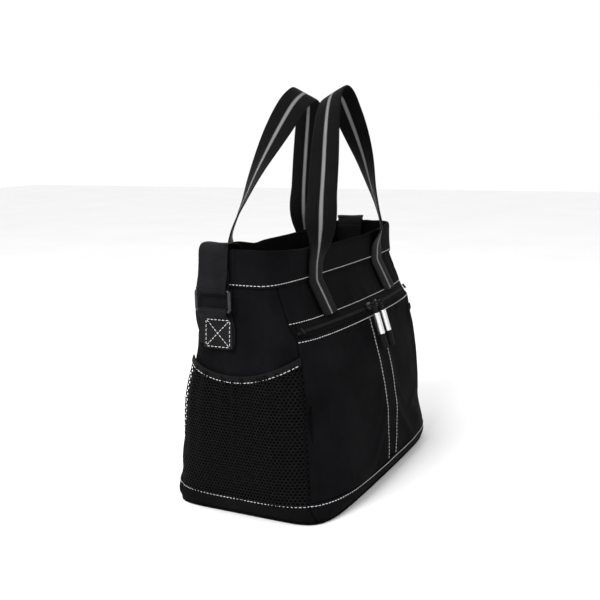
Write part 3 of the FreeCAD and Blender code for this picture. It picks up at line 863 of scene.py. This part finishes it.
def bind_seam(name, rows):
    tape = add_piece(name, grid_mesh(name, rows), lining)
    thicken(tape, 0.8 * MM, offset=0.0)
    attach(tape, "bag")


corner_seams = {
    "back_right": lambda z: seam_turn(z),
    "back_left": lambda z: 180 - seam_turn(z),
    "front_left": lambda z: 180 + seam_turn(z),
    "front_right": lambda z: 360 - seam_turn(z),
}
for corner_name, turn_at in corner_seams.items():
    rows = []
    for z in spread(band_z - 6 * MM, collar_z + 4 * MM, 70):
        turns = spread(turn_at(z) - TAPE_HALF_TURN, turn_at(z) + TAPE_HALF_TURN, 8)
        rows.append([skin(turn, z, TAPE_INSET) for turn in turns])
    bind_seam(corner_name + "_seam_tape", rows)
heights = spread(collar_z - 8 * MM, collar_z + 9 * MM, 5)
bind_seam("collar_seam_tape", [[skin(t, z, COLLAR_TAPE_INSET) for t in spread(0, 360, 260)]
                               for z in heights])
heights = spread(zip_low_z - 12 * MM, collar_z - 4 * MM, 16)
bind_seam("yoke_seam_tape", [[skin(t, z, FACING_INSET) for t in spread(183, 357, 120)]
                             for z in heights])

# %% [markdown]
# ## Mesh end pockets
# The net is made as real geometry: rows of hexagons, each with a hexagonal hole, so light falls
# through and the wall behind shows. It hangs between the corner seams, and an elastic binding
# gathers its curved mouth, which sends pleats down that fade out towards the base.

# %% Mesh pockets
MOUTH_REACH = 0.74 * half_depth
MOUTH_MIDDLE = 165 * MM
MOUTH_FRONT = 198 * MM
MOUTH_BACK = 191 * MM
BINDING = 9 * MM
CELL = 4.0 * MM
HOLE = 0.66


def mouth_height(y):
    """The pocket mouth's curve: low in the middle, rising to the corner seams."""
    share = y / MOUTH_REACH
    lift = 0.5 * (MOUTH_FRONT + MOUTH_BACK) - MOUTH_MIDDLE
    return MOUTH_MIDDLE + lift * share * share + 0.5 * (MOUTH_BACK - MOUTH_FRONT) * share


def end_turn(sign, share, z):
    """A turn on an end of the bag; share runs from -1 at the front seam to 1 at the back."""
    return share * seam_turn(z) if sign > 0 else 180 - share * seam_turn(z)


def mouth_at(sign, share):
    z = MOUTH_MIDDLE
    for _ in range(4):
        z = mouth_height(skin(end_turn(sign, share, z), z).y)
    return z


def net_stand(share, z, mouth):
    """How far the net stands out, with its pleats and one long fold near the front."""
    below = max(0.0, (mouth - BINDING - z) / (mouth - band_z))
    fade = (1 - below) ** 1.7
    pleats = 3.0 * (0.5 + 0.5 * math.sin(share * 26 + 1.8 * math.sin(share * 7))) * fade
    fold = 2.6 * math.exp(-((share + 0.55 + 0.05 * below) / 0.05) ** 2) * (1 - 0.5 * below)
    edge = (1 - share * share) ** 0.35
    return (0.8 + edge * (pleats + fold)) * MM


def net_point(sign, share, z):
    mouth = mouth_at(sign, share)
    return skin(end_turn(sign, share, z), z, -net_stand(share, z, mouth))


def make_net(name, sign):
    half_width = skin(end_turn(1, 1.0, 90 * MM), 90 * MM).y
    rows = int((MOUTH_FRONT - band_z) / (CELL * 0.866)) + 2
    columns = int(2 * half_width / CELL) + 2
    shares = spread(-1, 1, 60)
    mouths = [mouth_at(sign, share) for share in shares]
    corners, faces, found = [], [], {}

    def corner(u, v):
        key = (round(u / CELL * 30), round(v / CELL * 30))
        if key not in found:
            found[key] = len(corners)
            share = min(max(u / half_width, -1.0), 1.0)
            corners.append(net_point(sign, share, max(v, band_z - 2 * MM)))
        return found[key]

    for j in range(rows):
        for i in range(columns):
            u = -half_width + (i + 0.5 * (j % 2)) * CELL
            v = band_z - MM + j * CELL * 0.866
            if abs(u) > half_width - 0.2 * CELL:
                continue
            if v > np.interp(u / half_width, shares, mouths) - 0.4 * BINDING:
                continue
            outer, inner = [], []
            for k in range(6):
                angle = math.radians(60 * k + 30)
                du, dv = math.cos(angle) * CELL / 1.732, math.sin(angle) * CELL / 1.732
                outer.append(corner(u + du, v + dv))
                inner.append(corner(u + HOLE * du, v + HOLE * dv))
            for k in range(6):
                n = (k + 1) % 6
                faces.append((outer[k], outer[n], inner[n], inner[k]))
    mesh = bpy.data.meshes.new(name)
    mesh.from_pydata([list(c) for c in corners], [], faces)
    mesh.shade_smooth()
    net = add_piece(name, mesh, mesh_knit)
    return thicken(net, 0.55 * MM, offset=0.0, levels=0)


def tube_strip(name, centres, frames, profile, finish):
    """A strip with a rounded section: profile points laid on each frame along the way."""
    rows = []
    for centre, (across, out) in zip(centres, frames):
        rows.append([centre + across * a + out * o for a, o in profile])
    piece = add_piece(name, grid_mesh(name, rows, closed=True), finish)
    return piece


def round_section(width, thick, count=16, power=3.2):
    """A flat oval: a super-ellipse section for straps and bindings."""
    points = []
    for k in range(count):
        angle = 2 * math.pi * k / count
        c, s = math.cos(angle), math.sin(angle)
        points.append((0.5 * width * math.copysign(abs(c) ** (2 / power), c),
                       0.5 * thick * math.copysign(abs(s) ** (2 / power), s)))
    return points


def binding_line(sign, drop, stand):
    centres = []
    for share in spread(-1, 1, 70):
        z = mouth_at(sign, share) - drop
        centres.append(skin(end_turn(sign, share, z), z, -stand))
    return centres


for side, sign in (("left", -1), ("right", 1)):
    net = make_net(side + "_net", sign)
    belongs(net, "bag", "mesh", side + "_mesh_pocket")
    upper, lower = binding_line(sign, 0, 1.3 * MM), binding_line(sign, BINDING, 1.5 * MM)
    middle = [(a + b) / 2 for a, b in zip(upper, lower)]
    frames = []
    for k, (a, b) in enumerate(zip(upper, lower)):
        across = (a - b).normalized()
        along = (middle[min(k + 1, len(middle) - 1)] - middle[max(k - 1, 0)]).normalized()
        out = along.cross(across).normalized()
        frames.append((across, out))
    edge = tube_strip(side + "_binding", middle, frames, round_section(BINDING, 2.2 * MM), elastic)
    belongs(edge, "bag", "elastic", side + "_pocket_binding")

# %% [markdown]
# ## The zip
# Two tapes run from under the panels to a coil on each side of the middle. Every tooth is its
# own little rounded block, and the two rows of teeth interlock half a step apart. The zip lies
# on a wide arc, which its sliders follow.

# %% Zip
ZIP_RADIUS = 1.1
ZIP_END = 158 * MM
zip_row_low, zip_row_high = ring_at(zip_low_z), ring_at(zip_high_z)
zip_mid_y = -0.5 * (zip_row_low[1] + zip_row_high[1])
zip_mid_z = 0.5 * (zip_low_z + zip_high_z)
zip_up = Vector((0, zip_row_low[1] - zip_row_high[1], zip_high_z - zip_low_z)).normalized()
zip_out = Vector((0, -zip_up.z, zip_up.y))


def on_zip(x, up, out):
    """A point of the zip: along its arc, up its slope and out of it."""
    out -= 3.2 * MM * smooth((abs(x) - ZIP_END + 6 * MM) / (16 * MM))
    flat = Vector((0, zip_mid_y, zip_mid_z)) + zip_up * up + zip_out * out
    reach = zip_mid_y + ZIP_RADIUS - flat.y
    turn = math.asin(x / ZIP_RADIUS)
    return Vector((reach * math.sin(turn), zip_mid_y + ZIP_RADIUS - reach * math.cos(turn), flat.z))


def skin_x(x, z, inset):
    """The front's surface at a given x."""
    turn = 270.0
    for _ in range(12):
        turn += (x - skin(turn, z, inset).x) / (2.2 * MM) * 0.5
    return skin(turn, z, inset)


def make_tape(name, sign, border_z, node):
    rows = []
    for x in spread(-ZIP_END - 13 * MM, ZIP_END + 13 * MM, 116):
        inner = on_zip(x, sign * 1.2 * MM, -0.4 * MM)
        edge = skin_x(x, border_z, 3.4 * MM)
        rows.append([inner.lerp(edge, share) for share in (0.0, 0.15, 0.4, 0.7, 1.0)])
    tape = add_piece(name, grid_mesh(name, rows), zip_cloth)
    tape.data.flip_normals() if sign < 0 else None
    thicken(tape, 0.9 * MM, offset=0.0)
    belongs(tape, "bag", "zip_tape", node)


def teeth_mesh(name, sign, pitch=1.8 * MM):
    """One row of coil teeth, each a small block lying across the zip."""
    corners, faces = [], []
    count = int(2 * (ZIP_END + 9 * MM) / pitch)
    for k in range(count):
        x = -ZIP_END - 9 * MM + (k + (0.5 if sign > 0 else 0.0)) * pitch
        start = len(corners)
        for up, height in ((-0.35, 0.75), (0.3, 1.25), (1.5, 1.3), (2.0, 0.8)):
            for dx, out in ((-0.55, 0.0), (-0.55, height * 0.7), (-0.25, height), (0.25, height),
                            (0.55, height * 0.7), (0.55, 0.0)):
                corners.append(on_zip(x + dx * MM, sign * up * MM, (out - 0.2) * MM))
        for ring in range(3):
            for i in range(6):
                a = start + ring * 6 + i
                b = start + ring * 6 + (i + 1) % 6
                faces.append((a, b, b + 6, a + 6))
        faces.append([start + i for i in range(5, -1, -1)])
        faces.append([start + 18 + i for i in range(6)])
    mesh = bpy.data.meshes.new(name)
    mesh.from_pydata([list(c) for c in corners], [], faces)
    mesh.shade_smooth()
    return mesh


make_tape("tape_lower", -1, zip_low_z - 5 * MM, "zip_tape_lower")
make_tape("tape_upper", 1, zip_high_z + 5 * MM, "zip_tape_upper")
for word, sign in (("lower", -1), ("upper", 1)):
    teeth = add_piece("teeth_" + word, teeth_mesh("teeth_" + word, sign), coil)
    belongs(teeth, "bag", "zip_coil", "zip_coil_" + word)
for name, finish in (("left_slider", black_metal), ("right_slider", black_metal),
                     ("zip_end_stops", coil)):
    frame["nodes"][name].data.materials.clear()
    frame["nodes"][name].data.materials.append(finish)
print("teeth on each side:", int(2 * ZIP_END / (1.8 * MM)))

# %% [markdown]
# ## Straps with a rounded section
# Webbing is a flat strip with soft edges. The helper sweeps a small oval along a list of places,
# each with a direction across the strip, closes the ends and lays a pattern whose middle is the
# middle of the strip on both faces, so a stripe lands on the front and on the back.


# %% Strap helper
def smooth_way(points, step=4 * MM):
    """A Catmull-Rom curve through the points, at even steps."""
    points = [Vector(p) for p in points]
    padded_points = [2 * points[0] - points[1]] + points + [2 * points[-1] - points[-2]]
    dense = []
    for a, b, c, d in zip(padded_points, padded_points[1:], padded_points[2:], padded_points[3:]):
        for i in range(24):
            t = i / 24
            dense.append(0.5 * (2 * b + (c - a) * t + (2 * a - 5 * b + 4 * c - d) * t * t
                                + (3 * b - a - 3 * c + d) * t**3))
    dense.append(points[-1])
    table = np.array([list(p) for p in dense])
    walked = np.concatenate([[0], np.cumsum(np.linalg.norm(np.diff(table, axis=0), axis=1))])
    marks = np.linspace(0, walked[-1], max(3, int(walked[-1] / step)))
    return [Vector([np.interp(m, walked, table[:, c]) for c in range(3)]) for m in marks]


def directions(way):
    return [(way[min(k + 1, len(way) - 1)] - way[max(k - 1, 0)]).normalized()
            for k in range(len(way))]


def strap(name, way, across_at, width, thick, finish, cup=0.0):
    """Webbing along a way; across_at gives the strip's width direction at a place."""
    section = round_section(width, thick)
    rows = []
    for place, along in zip(way, directions(way)):
        across = across_at(place)
        across = (across - along * across.dot(along)).normalized()
        out = along.cross(across)
        rows.append([place + across * a + out * (o + cup * ((2 * a / width) ** 2 - 0.4))
                     for a, o in section])
    mesh = grid_mesh(name, rows, closed=True)
    walked = [0.0]
    for a, b in zip(way, way[1:]):
        walked.append(walked[-1] + (b - a).length)
    flat = []
    count = len(section)
    for j in range(len(rows) - 1):
        for i in range(count):
            n = (i + 1) % count
            for jj, ii in ((j, i), (j, n), (j + 1, n), (j + 1, i)):
                flat += [section[ii][0], walked[jj]]
    mesh.uv_layers["pattern"].data.foreach_set("uv", flat)
    work = bmesh.new()
    work.from_mesh(mesh)
    bmesh.ops.holes_fill(work, edges=[e for e in work.edges if e.is_boundary])
    bmesh.ops.recalc_face_normals(work, faces=work.faces)
    work.to_mesh(mesh)
    work.free()
    mesh.shade_smooth()
    piece = add_piece(name, mesh, finish)
    round_off = piece.modifiers.new("round", "SUBSURF")
    round_off.levels = 1
    round_off.render_levels = 1
    return piece


print("strap section points:", len(round_section(38 * MM, 2.4 * MM)))

# %% [markdown]
# ## Carry handles
# Each handle is one length of webbing. It starts flat on the shoulder, climbs to a loop and
# comes down to the shoulder again, turning a quarter on the way up so that it stands on its edge
# where a hand would take it. The lowest part is sewn to the bag, and above its stitched ends the
# real handle folds over; here it is one fixed piece.

# %% Handles
FRONT_LOOP = [
    (-95, 267), (-94, 280), (-88, 298), (-76, 320), (-63, 343), (-47, 370), (-31, 398),
    (-14, 428), (4, 455), (20, 471), (36, 477), (52, 471), (65, 452), (80, 425), (93, 395),
    (101, 362), (104, 330), (102, 303), (97, 281), (95, 267),
]
BACK_LOOP = [
    (-95, 267), (-97, 281), (-98, 304), (-93, 328), (-82, 352), (-66, 378), (-46, 405),
    (-24, 432), (0, 458), (18, 471), (36, 477), (49, 468), (56, 446), (62, 415),
    (69, 382), (77, 348), (87, 315), (94, 287), (95, 267),
]
HANDLE_STAND = 53.2 * MM
HANDLE_LEAN = 32.2 * MM
HANDLE_TOP = 477 * MM
WEBBING = 38 * MM


def twist(z, quick_turn):
    """How far a leg has turned on its edge: two of the four legs turn early, two slowly."""
    if quick_turn:
        return math.pi / 2 * smooth((z - 286 * MM) / (72 * MM))
    early = math.radians(26) * smooth((z - 272 * MM) / (38 * MM))
    return early + math.radians(64) * smooth((z - 312 * MM) / (150 * MM))


def clear_of_collar(z, quick_turn):
    """A slowly turning leg stands further out beside the collar, and comes back above."""
    edge = 0.0 if quick_turn else 0.5 * WEBBING * math.sin(twist(z, False)) - 3.5 * MM
    return max(0.0, edge) * (1 - smooth((z - rim_z) / (45 * MM)))


def make_handle(name, route, facing, tabs):
    foot = []
    for z in (222 * MM, 228 * MM, 240 * MM, 252 * MM, 260 * MM):
        depth = abs(skin_x(82 * MM, z, 0).y)
        foot.append((-95 * MM, facing * (depth + 1.5 * MM), z))
    loop = []
    for k, (x, height) in enumerate(route):
        rise = max(height * MM - rim_z, 0.0) / (HANDLE_TOP - rim_z)
        stand = HANDLE_STAND - HANDLE_LEAN * rise
        stand += clear_of_collar(height * MM, (k < len(route) / 2) == (facing < 0))
        loop.append((x * MM, facing * stand, height * MM))
    way = smooth_way(foot + loop + [(-x, y, z) for x, y, z in reversed(foot)], 3.5 * MM)
    peak_x = max(way, key=lambda p: p.z).x

    def across_at(place):
        before_peak = place.x < peak_x
        turn = twist(place.z, before_peak == (facing < 0))
        turn = turn if before_peak else math.pi - turn
        tip = math.radians(28) * smooth((place.z - 380 * MM) / (90 * MM))
        rise = math.sin(turn)
        return Vector((math.cos(turn), facing * rise * math.cos(tip), rise * math.sin(tip)))

    handle = strap(name, way, across_at, WEBBING, 2.3 * MM, handle_webbing, cup=0.4 * MM)
    body = name.replace("_loop", "")
    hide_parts(body + "_webbing", *tabs)
    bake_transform(handle)
    return handle


for face, route, facing in (("front", FRONT_LOOP, -1), ("back", BACK_LOOP, 1)):
    tabs = ("%s_left_handle_tab" % face, "%s_right_handle_tab" % face)
    handle = make_handle(face + "_handle_loop", route, facing, tabs)
    print(handle.name, "top at", round(max(v.co.z for v in handle.data.vertices) / MM), "mm")

# %% [markdown]
# ## Rings and shoulder strap
# A wire ring hangs at each end. Its lower bar is held by a short loop of webbing sewn flat on the
# wall, and the shoulder strap is folded round its upper bar. From there the strap runs up
# outside the collar, over the rim and down into the bag, where the rest of it lies.

# %% Rings and strap
RING_STAND = (low("right_ring").x + high("right_ring").x) / 2
RING_LOW = low("right_ring").z + 2 * MM
RING_HIGH = high("right_ring").z - 2 * MM
RING_SIDE = (low("right_ring").y + high("right_ring").y) / 2
STRAP_SIDE = (low("shoulder_strap").y + high("shoulder_strap").y) / 2


SEWN_LEAN = 4.5 * MM


def wall_x(z):
    return skin(math.degrees(math.atan2(RING_SIDE, 190 * MM)), z).x


def side_way(sign, route, step=2 * MM):
    """A way beside the ring that leans a little where it is sewn and inside the rim."""
    points = []
    for x, z in route:
        inside_rim = smooth((188 * MM - x) / (14 * MM))
        sewn = 1 - smooth((z - 208 * MM) / (26 * MM))
        y = RING_SIDE + (STRAP_SIDE - RING_SIDE) * inside_rim * (z > RING_HIGH) - SEWN_LEAN * sewn
        points.append((sign * x, y, z))
    return smooth_way(points, step)


for side, sign in (("left", -1), ("right", 1)):
    def lengthwise(place):
        return Vector((0, 1, 0))

    frame["nodes"][side + "_ring"].data.materials.clear()
    frame["nodes"][side + "_ring"].data.materials.append(black_metal)
    bend = 3.4 * MM
    route = [(wall_x(196 * MM) + 1.5 * MM, 195 * MM), (wall_x(212 * MM) + 1.5 * MM, 212 * MM),
             (wall_x(226 * MM) + 1.6 * MM, 226 * MM), (RING_STAND - bend, RING_LOW - 2.5 * MM),
             (RING_STAND - bend, RING_LOW + 1.0 * MM), (RING_STAND, RING_LOW + bend),
             (RING_STAND + bend, RING_LOW + 0.6 * MM), (RING_STAND + 2.4 * MM, RING_LOW - 4 * MM),
             (wall_x(226 * MM) + 4.4 * MM, 226 * MM), (wall_x(212 * MM) + 4.0 * MM, 212 * MM),
             (wall_x(196 * MM) + 4.0 * MM, 194 * MM)]
    anchor = strap(side + "_anchor_loop", side_way(sign, route), lengthwise, WEBBING - 1 * MM,
                   2.1 * MM, strap_webbing)
    belongs(anchor, "bag", "webbing", side + "_ring_anchor")
    route = [(wall_x(z * MM) + 0.4 * MM, z * MM) for z in (198, 214, 230, 246, 262)]
    way = [Vector((sign * x, RING_SIDE + 4 * MM - SEWN_LEAN * (z < 215 * MM), z)) for x, z in route]
    patch = strap(side + "_backing_patch", smooth_way(way, 2 * MM), lengthwise, WEBBING + 9 * MM,
                  1.6 * MM, strap_webbing)
    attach(patch, "bag")
    route = [(RING_STAND - 4.4 * MM, 284 * MM), (RING_STAND - 4.2 * MM, 270 * MM),
             (RING_STAND - bend, RING_HIGH + 0.5 * MM), (RING_STAND, RING_HIGH - bend),
             (RING_STAND + bend, RING_HIGH), (RING_STAND + 2.6 * MM, 266 * MM),
             (RING_STAND - 0.6 * MM, 276 * MM), (RING_STAND - 2.6 * MM, 290 * MM),
             (RING_STAND - 3.6 * MM, 301 * MM), (RING_STAND - 6.4 * MM, 307.2 * MM),
             (184 * MM, 309.3 * MM), (176.6 * MM, 308.6 * MM), (171.4 * MM, 304.6 * MM),
             (169.6 * MM, 297 * MM), (169.3 * MM, 290 * MM)]
    leg = strap(side + "_strap_leg", side_way(sign, route), lengthwise, WEBBING - 0.5 * MM,
                2.1 * MM, strap_webbing, cup=0.3 * MM)
    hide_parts(side + "_strap_end")
    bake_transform(leg)

inside = [(167.6, 299), (167.8, 285), (168.5, 250), (170, 200), (170.8, 150), (170.8, 90),
          (170.4, 40), (168.6, 17), (162, 9.6), (150, 8.2)]
route = [(-x, z) for x, z in inside] + [(-75, 8.0), (0, 8.0), (75, 8.0)]
route += [(x, z) for x, z in reversed(inside)]
way = smooth_way([(x * MM, STRAP_SIDE, z * MM) for x, z in route], 6 * MM)
rest_of_strap = strap("strap_inside", way, lambda place: Vector((0, 1, 0)), WEBBING, 2.1 * MM,
                      strap_webbing)
belongs(rest_of_strap, "bag", "webbing", "shoulder_strap")

# %% [markdown]
# ## Zip pulls
# A cord goes round the slider's bar and down through a turned metal barrel to a black end. The
# barrel is a lathe shape: a profile turned about the pull's own line.

# %% Zip pulls
BAR_OUT = 10.7 * MM
PULL_SLOPE = math.radians(17)


def lathe(name, profile, frame_matrix, finish, count=40, squash_y=1.0):
    """A profile of radius and height turned about an axis."""
    rows = []
    for radius, height in profile:
        row = []
        for k in range(count):
            angle = 2 * math.pi * k / count
            row.append(frame_matrix @ Vector((radius * MM * math.cos(angle),
                                              squash_y * radius * MM * math.sin(angle),
                                              height * MM)))
        rows.append(row)
    mesh = grid_mesh(name, rows, closed=True)
    work = bmesh.new()
    work.from_mesh(mesh)
    bmesh.ops.holes_fill(work, edges=[e for e in work.edges if e.is_boundary])
    bmesh.ops.recalc_face_normals(work, faces=work.faces)
    work.to_mesh(mesh)
    work.free()
    piece = add_piece(name, mesh, finish)
    piece.data.shade_smooth()
    return piece


BARREL = [(1.7, -13.4), (1.9, -13.0), (3.8, -13.0), (4.15, -13.1), (4.5, -13.6), (4.5, -14.2),
          (4.5, -26), (4.5, -38.8), (4.5, -39.4), (4.15, -39.9), (3.8, -40.0), (1.9, -40.0),
          (1.7, -39.6)]
KNOT = [(0.6, -40.6), (3.2, -41.0), (4.3, -42.2), (4.5, -44.5), (4.4, -50), (4.3, -55),
        (3.9, -57.6), (2.8, -58.9), (0.6, -59.2)]
SLEEVE = [(1.6, -1.0), (2.9, -1.4), (3.9, -3.0), (4.4, -5.6), (4.3, -8.6), (3.7, -11.2),
          (2.8, -12.5), (1.6, -12.8)]


def make_pull(side):
    bar = frame["nodes"][side + "_slider"]
    slider_x = 0.5 * (low(side + "_slider").x + high(side + "_slider").x)
    turn = math.asin(slider_x / ZIP_RADIUS)
    place = on_zip(slider_x, 0, BAR_OUT)
    hang = (Matrix.Translation(place) @ Matrix.Rotation(turn, 4, "Z")
            @ Matrix.Rotation(-PULL_SLOPE, 4, "X"))
    body = side + "_pull"
    barrel = lathe(side + "_barrel", BARREL, hang, brushed)
    belongs(barrel, body, "brushed_metal", side + "_pull_barrel")
    end = lathe(side + "_cord_end", KNOT, hang, cord_cloth)
    belongs(end, body, "knot", side + "_pull_knot")
    sleeve = lathe(side + "_cord_sleeve", SLEEVE, hang, cord_cloth, squash_y=0.72)
    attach(sleeve, body)
    route = [(0, 2.6, 0.4), (0, 2.0, 2.2), (0, 0.2, 2.9), (0, -1.9, 2.1), (0, -2.7, 0.0),
             (0, -2.1, -3.0), (0, -0.9, -7.0), (0, -0.1, -11.5), (0, 0, -20), (0, 0, -30),
             (0, 0, -40), (0, 0, -49)]
    way = smooth_way([hang @ (Vector(p) * MM) for p in route], 1.2 * MM)
    curve = bpy.data.curves.new(side + "_cord", "CURVE")
    curve.dimensions = "3D"
    spline = curve.splines.new("NURBS")
    spline.points.add(len(way) - 1)
    for point, spot in zip(spline.points, way):
        point.co = (*spot, 1.0)
    spline.order_u = 3
    spline.use_endpoint_u = True
    curve.bevel_depth = 1.3 * MM
    curve.bevel_resolution = 4
    curve.use_fill_caps = True
    strand = bpy.data.objects.new(side + "_cord", curve)
    bpy.context.scene.collection.objects.link(strand)
    curve.materials.append(cord_cloth)
    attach(strand, body)
    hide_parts(side + "_pull_cord")
    length = sum((b - a).length for a, b in zip(way, way[1:]))
    return length


for side in ("left", "right"):
    print(side, "pull cord", round(make_pull(side) / MM, 1), "mm")

# %% [markdown]
# ## Stitching
# The seams are sewn with pale thread, and each stitch is a small capsule whose ends dip into
# the cloth. Stitches are placed last: a ray is sent in from outside along each seam, so every
# stitch lies on the cloth as it has settled.


# %% Stitch helper
STITCH = 3.3 * MM
STITCH_GAP = 1.1 * MM


def surface_of(pieces):
    """One search tree over the finished surfaces of several pieces."""
    view = bpy.context.evaluated_depsgraph_get()
    spots, faces = [], []
    for piece in pieces:
        shape = piece.evaluated_get(view).to_mesh()
        start = len(spots)
        spots += [piece.matrix_world @ v.co for v in shape.vertices]
        faces += [[start + i for i in face.vertices] for face in shape.polygons]
    return BVHTree.FromPolygons(spots, faces)


def sew(name, lines, tree, width=0.8 * MM, reach=14 * MM):
    """Stitches along lines of (place, outward) pairs, laid on the surface."""
    corners, faces = [], []
    for line in lines:
        table = np.array([list(p) + list(n) for p, n in line])
        walked = np.concatenate([[0], np.cumsum(np.linalg.norm(np.diff(table[:, :3], axis=0), axis=1))])
        count = int(walked[-1] / (STITCH + STITCH_GAP))
        gap = walked[-1] / max(count, 1)
        for k in range(count):
            ends = []
            for share in (0.0, 1.0):
                mark = gap * (k + 0.5) + (share - 0.5) * STITCH
                values = [float(np.interp(mark, walked, table[:, c])) for c in range(6)]
                place, out = Vector(values[:3]), Vector(values[3:]).normalized()
                hit = tree.ray_cast(place + out * reach, -out, 2.5 * reach)
                ends.append((hit[0] if hit[0] else place, out))
            add_stitch(corners, faces, ends, width)
    mesh = bpy.data.meshes.new(name)
    mesh.from_pydata(corners, [], faces)
    mesh.shade_smooth()
    piece = add_piece(name, mesh, thread)
    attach(piece, "bag")
    return piece


def add_stitch(corners, faces, ends, width):
    (start, out), (stop, _) = ends
    along = stop - start
    if along.length < 0.5 * STITCH or along.length > 1.8 * STITCH:
        return
    side = along.normalized().cross(out).normalized()
    first = len(corners)
    for share, radius, lift in ((0.0, 0.45, -0.25), (0.12, 0.9, 0.15), (0.5, 1.0, 0.38),
                                (0.88, 0.9, 0.15), (1.0, 0.45, -0.25)):
        middle = start + along * share + out * lift * MM
        for k in range(6):
            angle = math.pi * k / 3
            corners.append(list(middle + side * math.cos(angle) * 0.5 * width * radius
                                + out * math.sin(angle) * 0.5 * width * radius))
    for ring in range(4):
        for k in range(6):
            a, b = first + ring * 6 + k, first + ring * 6 + (k + 1) % 6
            faces.append((a, b, b + 6, a + 6))


# %% [markdown]
# ### Where the seams run
# Rows of stitches run round the top of the base band and under the collar, above and below the
# zip, down both sides of the centre strip and along each mesh pocket's binding. The ring loops
# are fixed with a box and a cross.

# %% Seams
cloth = surface_of([o for o in bpy.data.objects if o.name.endswith("_cloth")])


def level_line(turns, height, drop=0.0):
    return [(skin(t, height + drop), outward(t, height)) for t in turns]


sew("base_stitches", [level_line(spread(0, 360, 300), band_z, -1.3 * MM)], cloth)
sew("collar_stitches", [level_line(spread(0, 360, 300), collar_z, 1.6 * MM)], cloth)
front = SIDES["front"]
sew("zip_stitches", [
    level_line(spread(front(zip_low_z)[0] + 0.2, front(zip_low_z)[1] - 0.2, 120), zip_low_z, -1.6 * MM),
    level_line(spread(front(zip_high_z)[0] + 0.2, front(zip_high_z)[1] - 0.2, 120), zip_high_z, 1.4 * MM),
], cloth)
strip_lines = []
for sign in (-1, 1):
    line = []
    for z in spread(band_z + 1 * MM, zip_low_z - 3 * MM, 60):
        turn = strip_turn(z, sign, strip_edge(z, sign) + 1.6 * MM)
        line.append((skin(turn, z), outward(turn, z)))
    strip_lines.append(line)
sew("strip_stitches", strip_lines, cloth)
bindings = surface_of([bpy.data.objects[s + "_binding"] for s in ("left", "right")])
binding_lines = []
for sign in (-1, 1):
    line = []
    for share in spread(-0.97, 0.97, 60):
        z = mouth_at(sign, share) - 7.4 * MM
        turn = end_turn(sign, share, z)
        line.append((skin(turn, z), outward(turn, z)))
    binding_lines.append(line)
sew("binding_stitches", binding_lines, bindings)
loops = surface_of([bpy.data.objects[s + "_anchor_loop"] for s in ("left", "right")])
box_lines = []
for sign in (-1, 1):
    out = Vector((sign, 0, 0))
    box = [(-15, 197), (15, 197), (15, 227), (-15, 227)]
    for a, b in ((0, 1), (1, 2), (2, 3), (3, 0), (0, 2), (1, 3)):
        line = []
        for share in spread(0.03, 0.97, 12):
            y = box[a][0] + (box[b][0] - box[a][0]) * share
            z = box[a][1] + (box[b][1] - box[a][1]) * share
            line.append((Vector((sign * 195 * MM, RING_SIDE - SEWN_LEAN + y * MM, z * MM)), out))
        box_lines.append(line)
sew("box_stitches", box_lines, loops)

# %% Final update
bpy.context.view_layer.update()
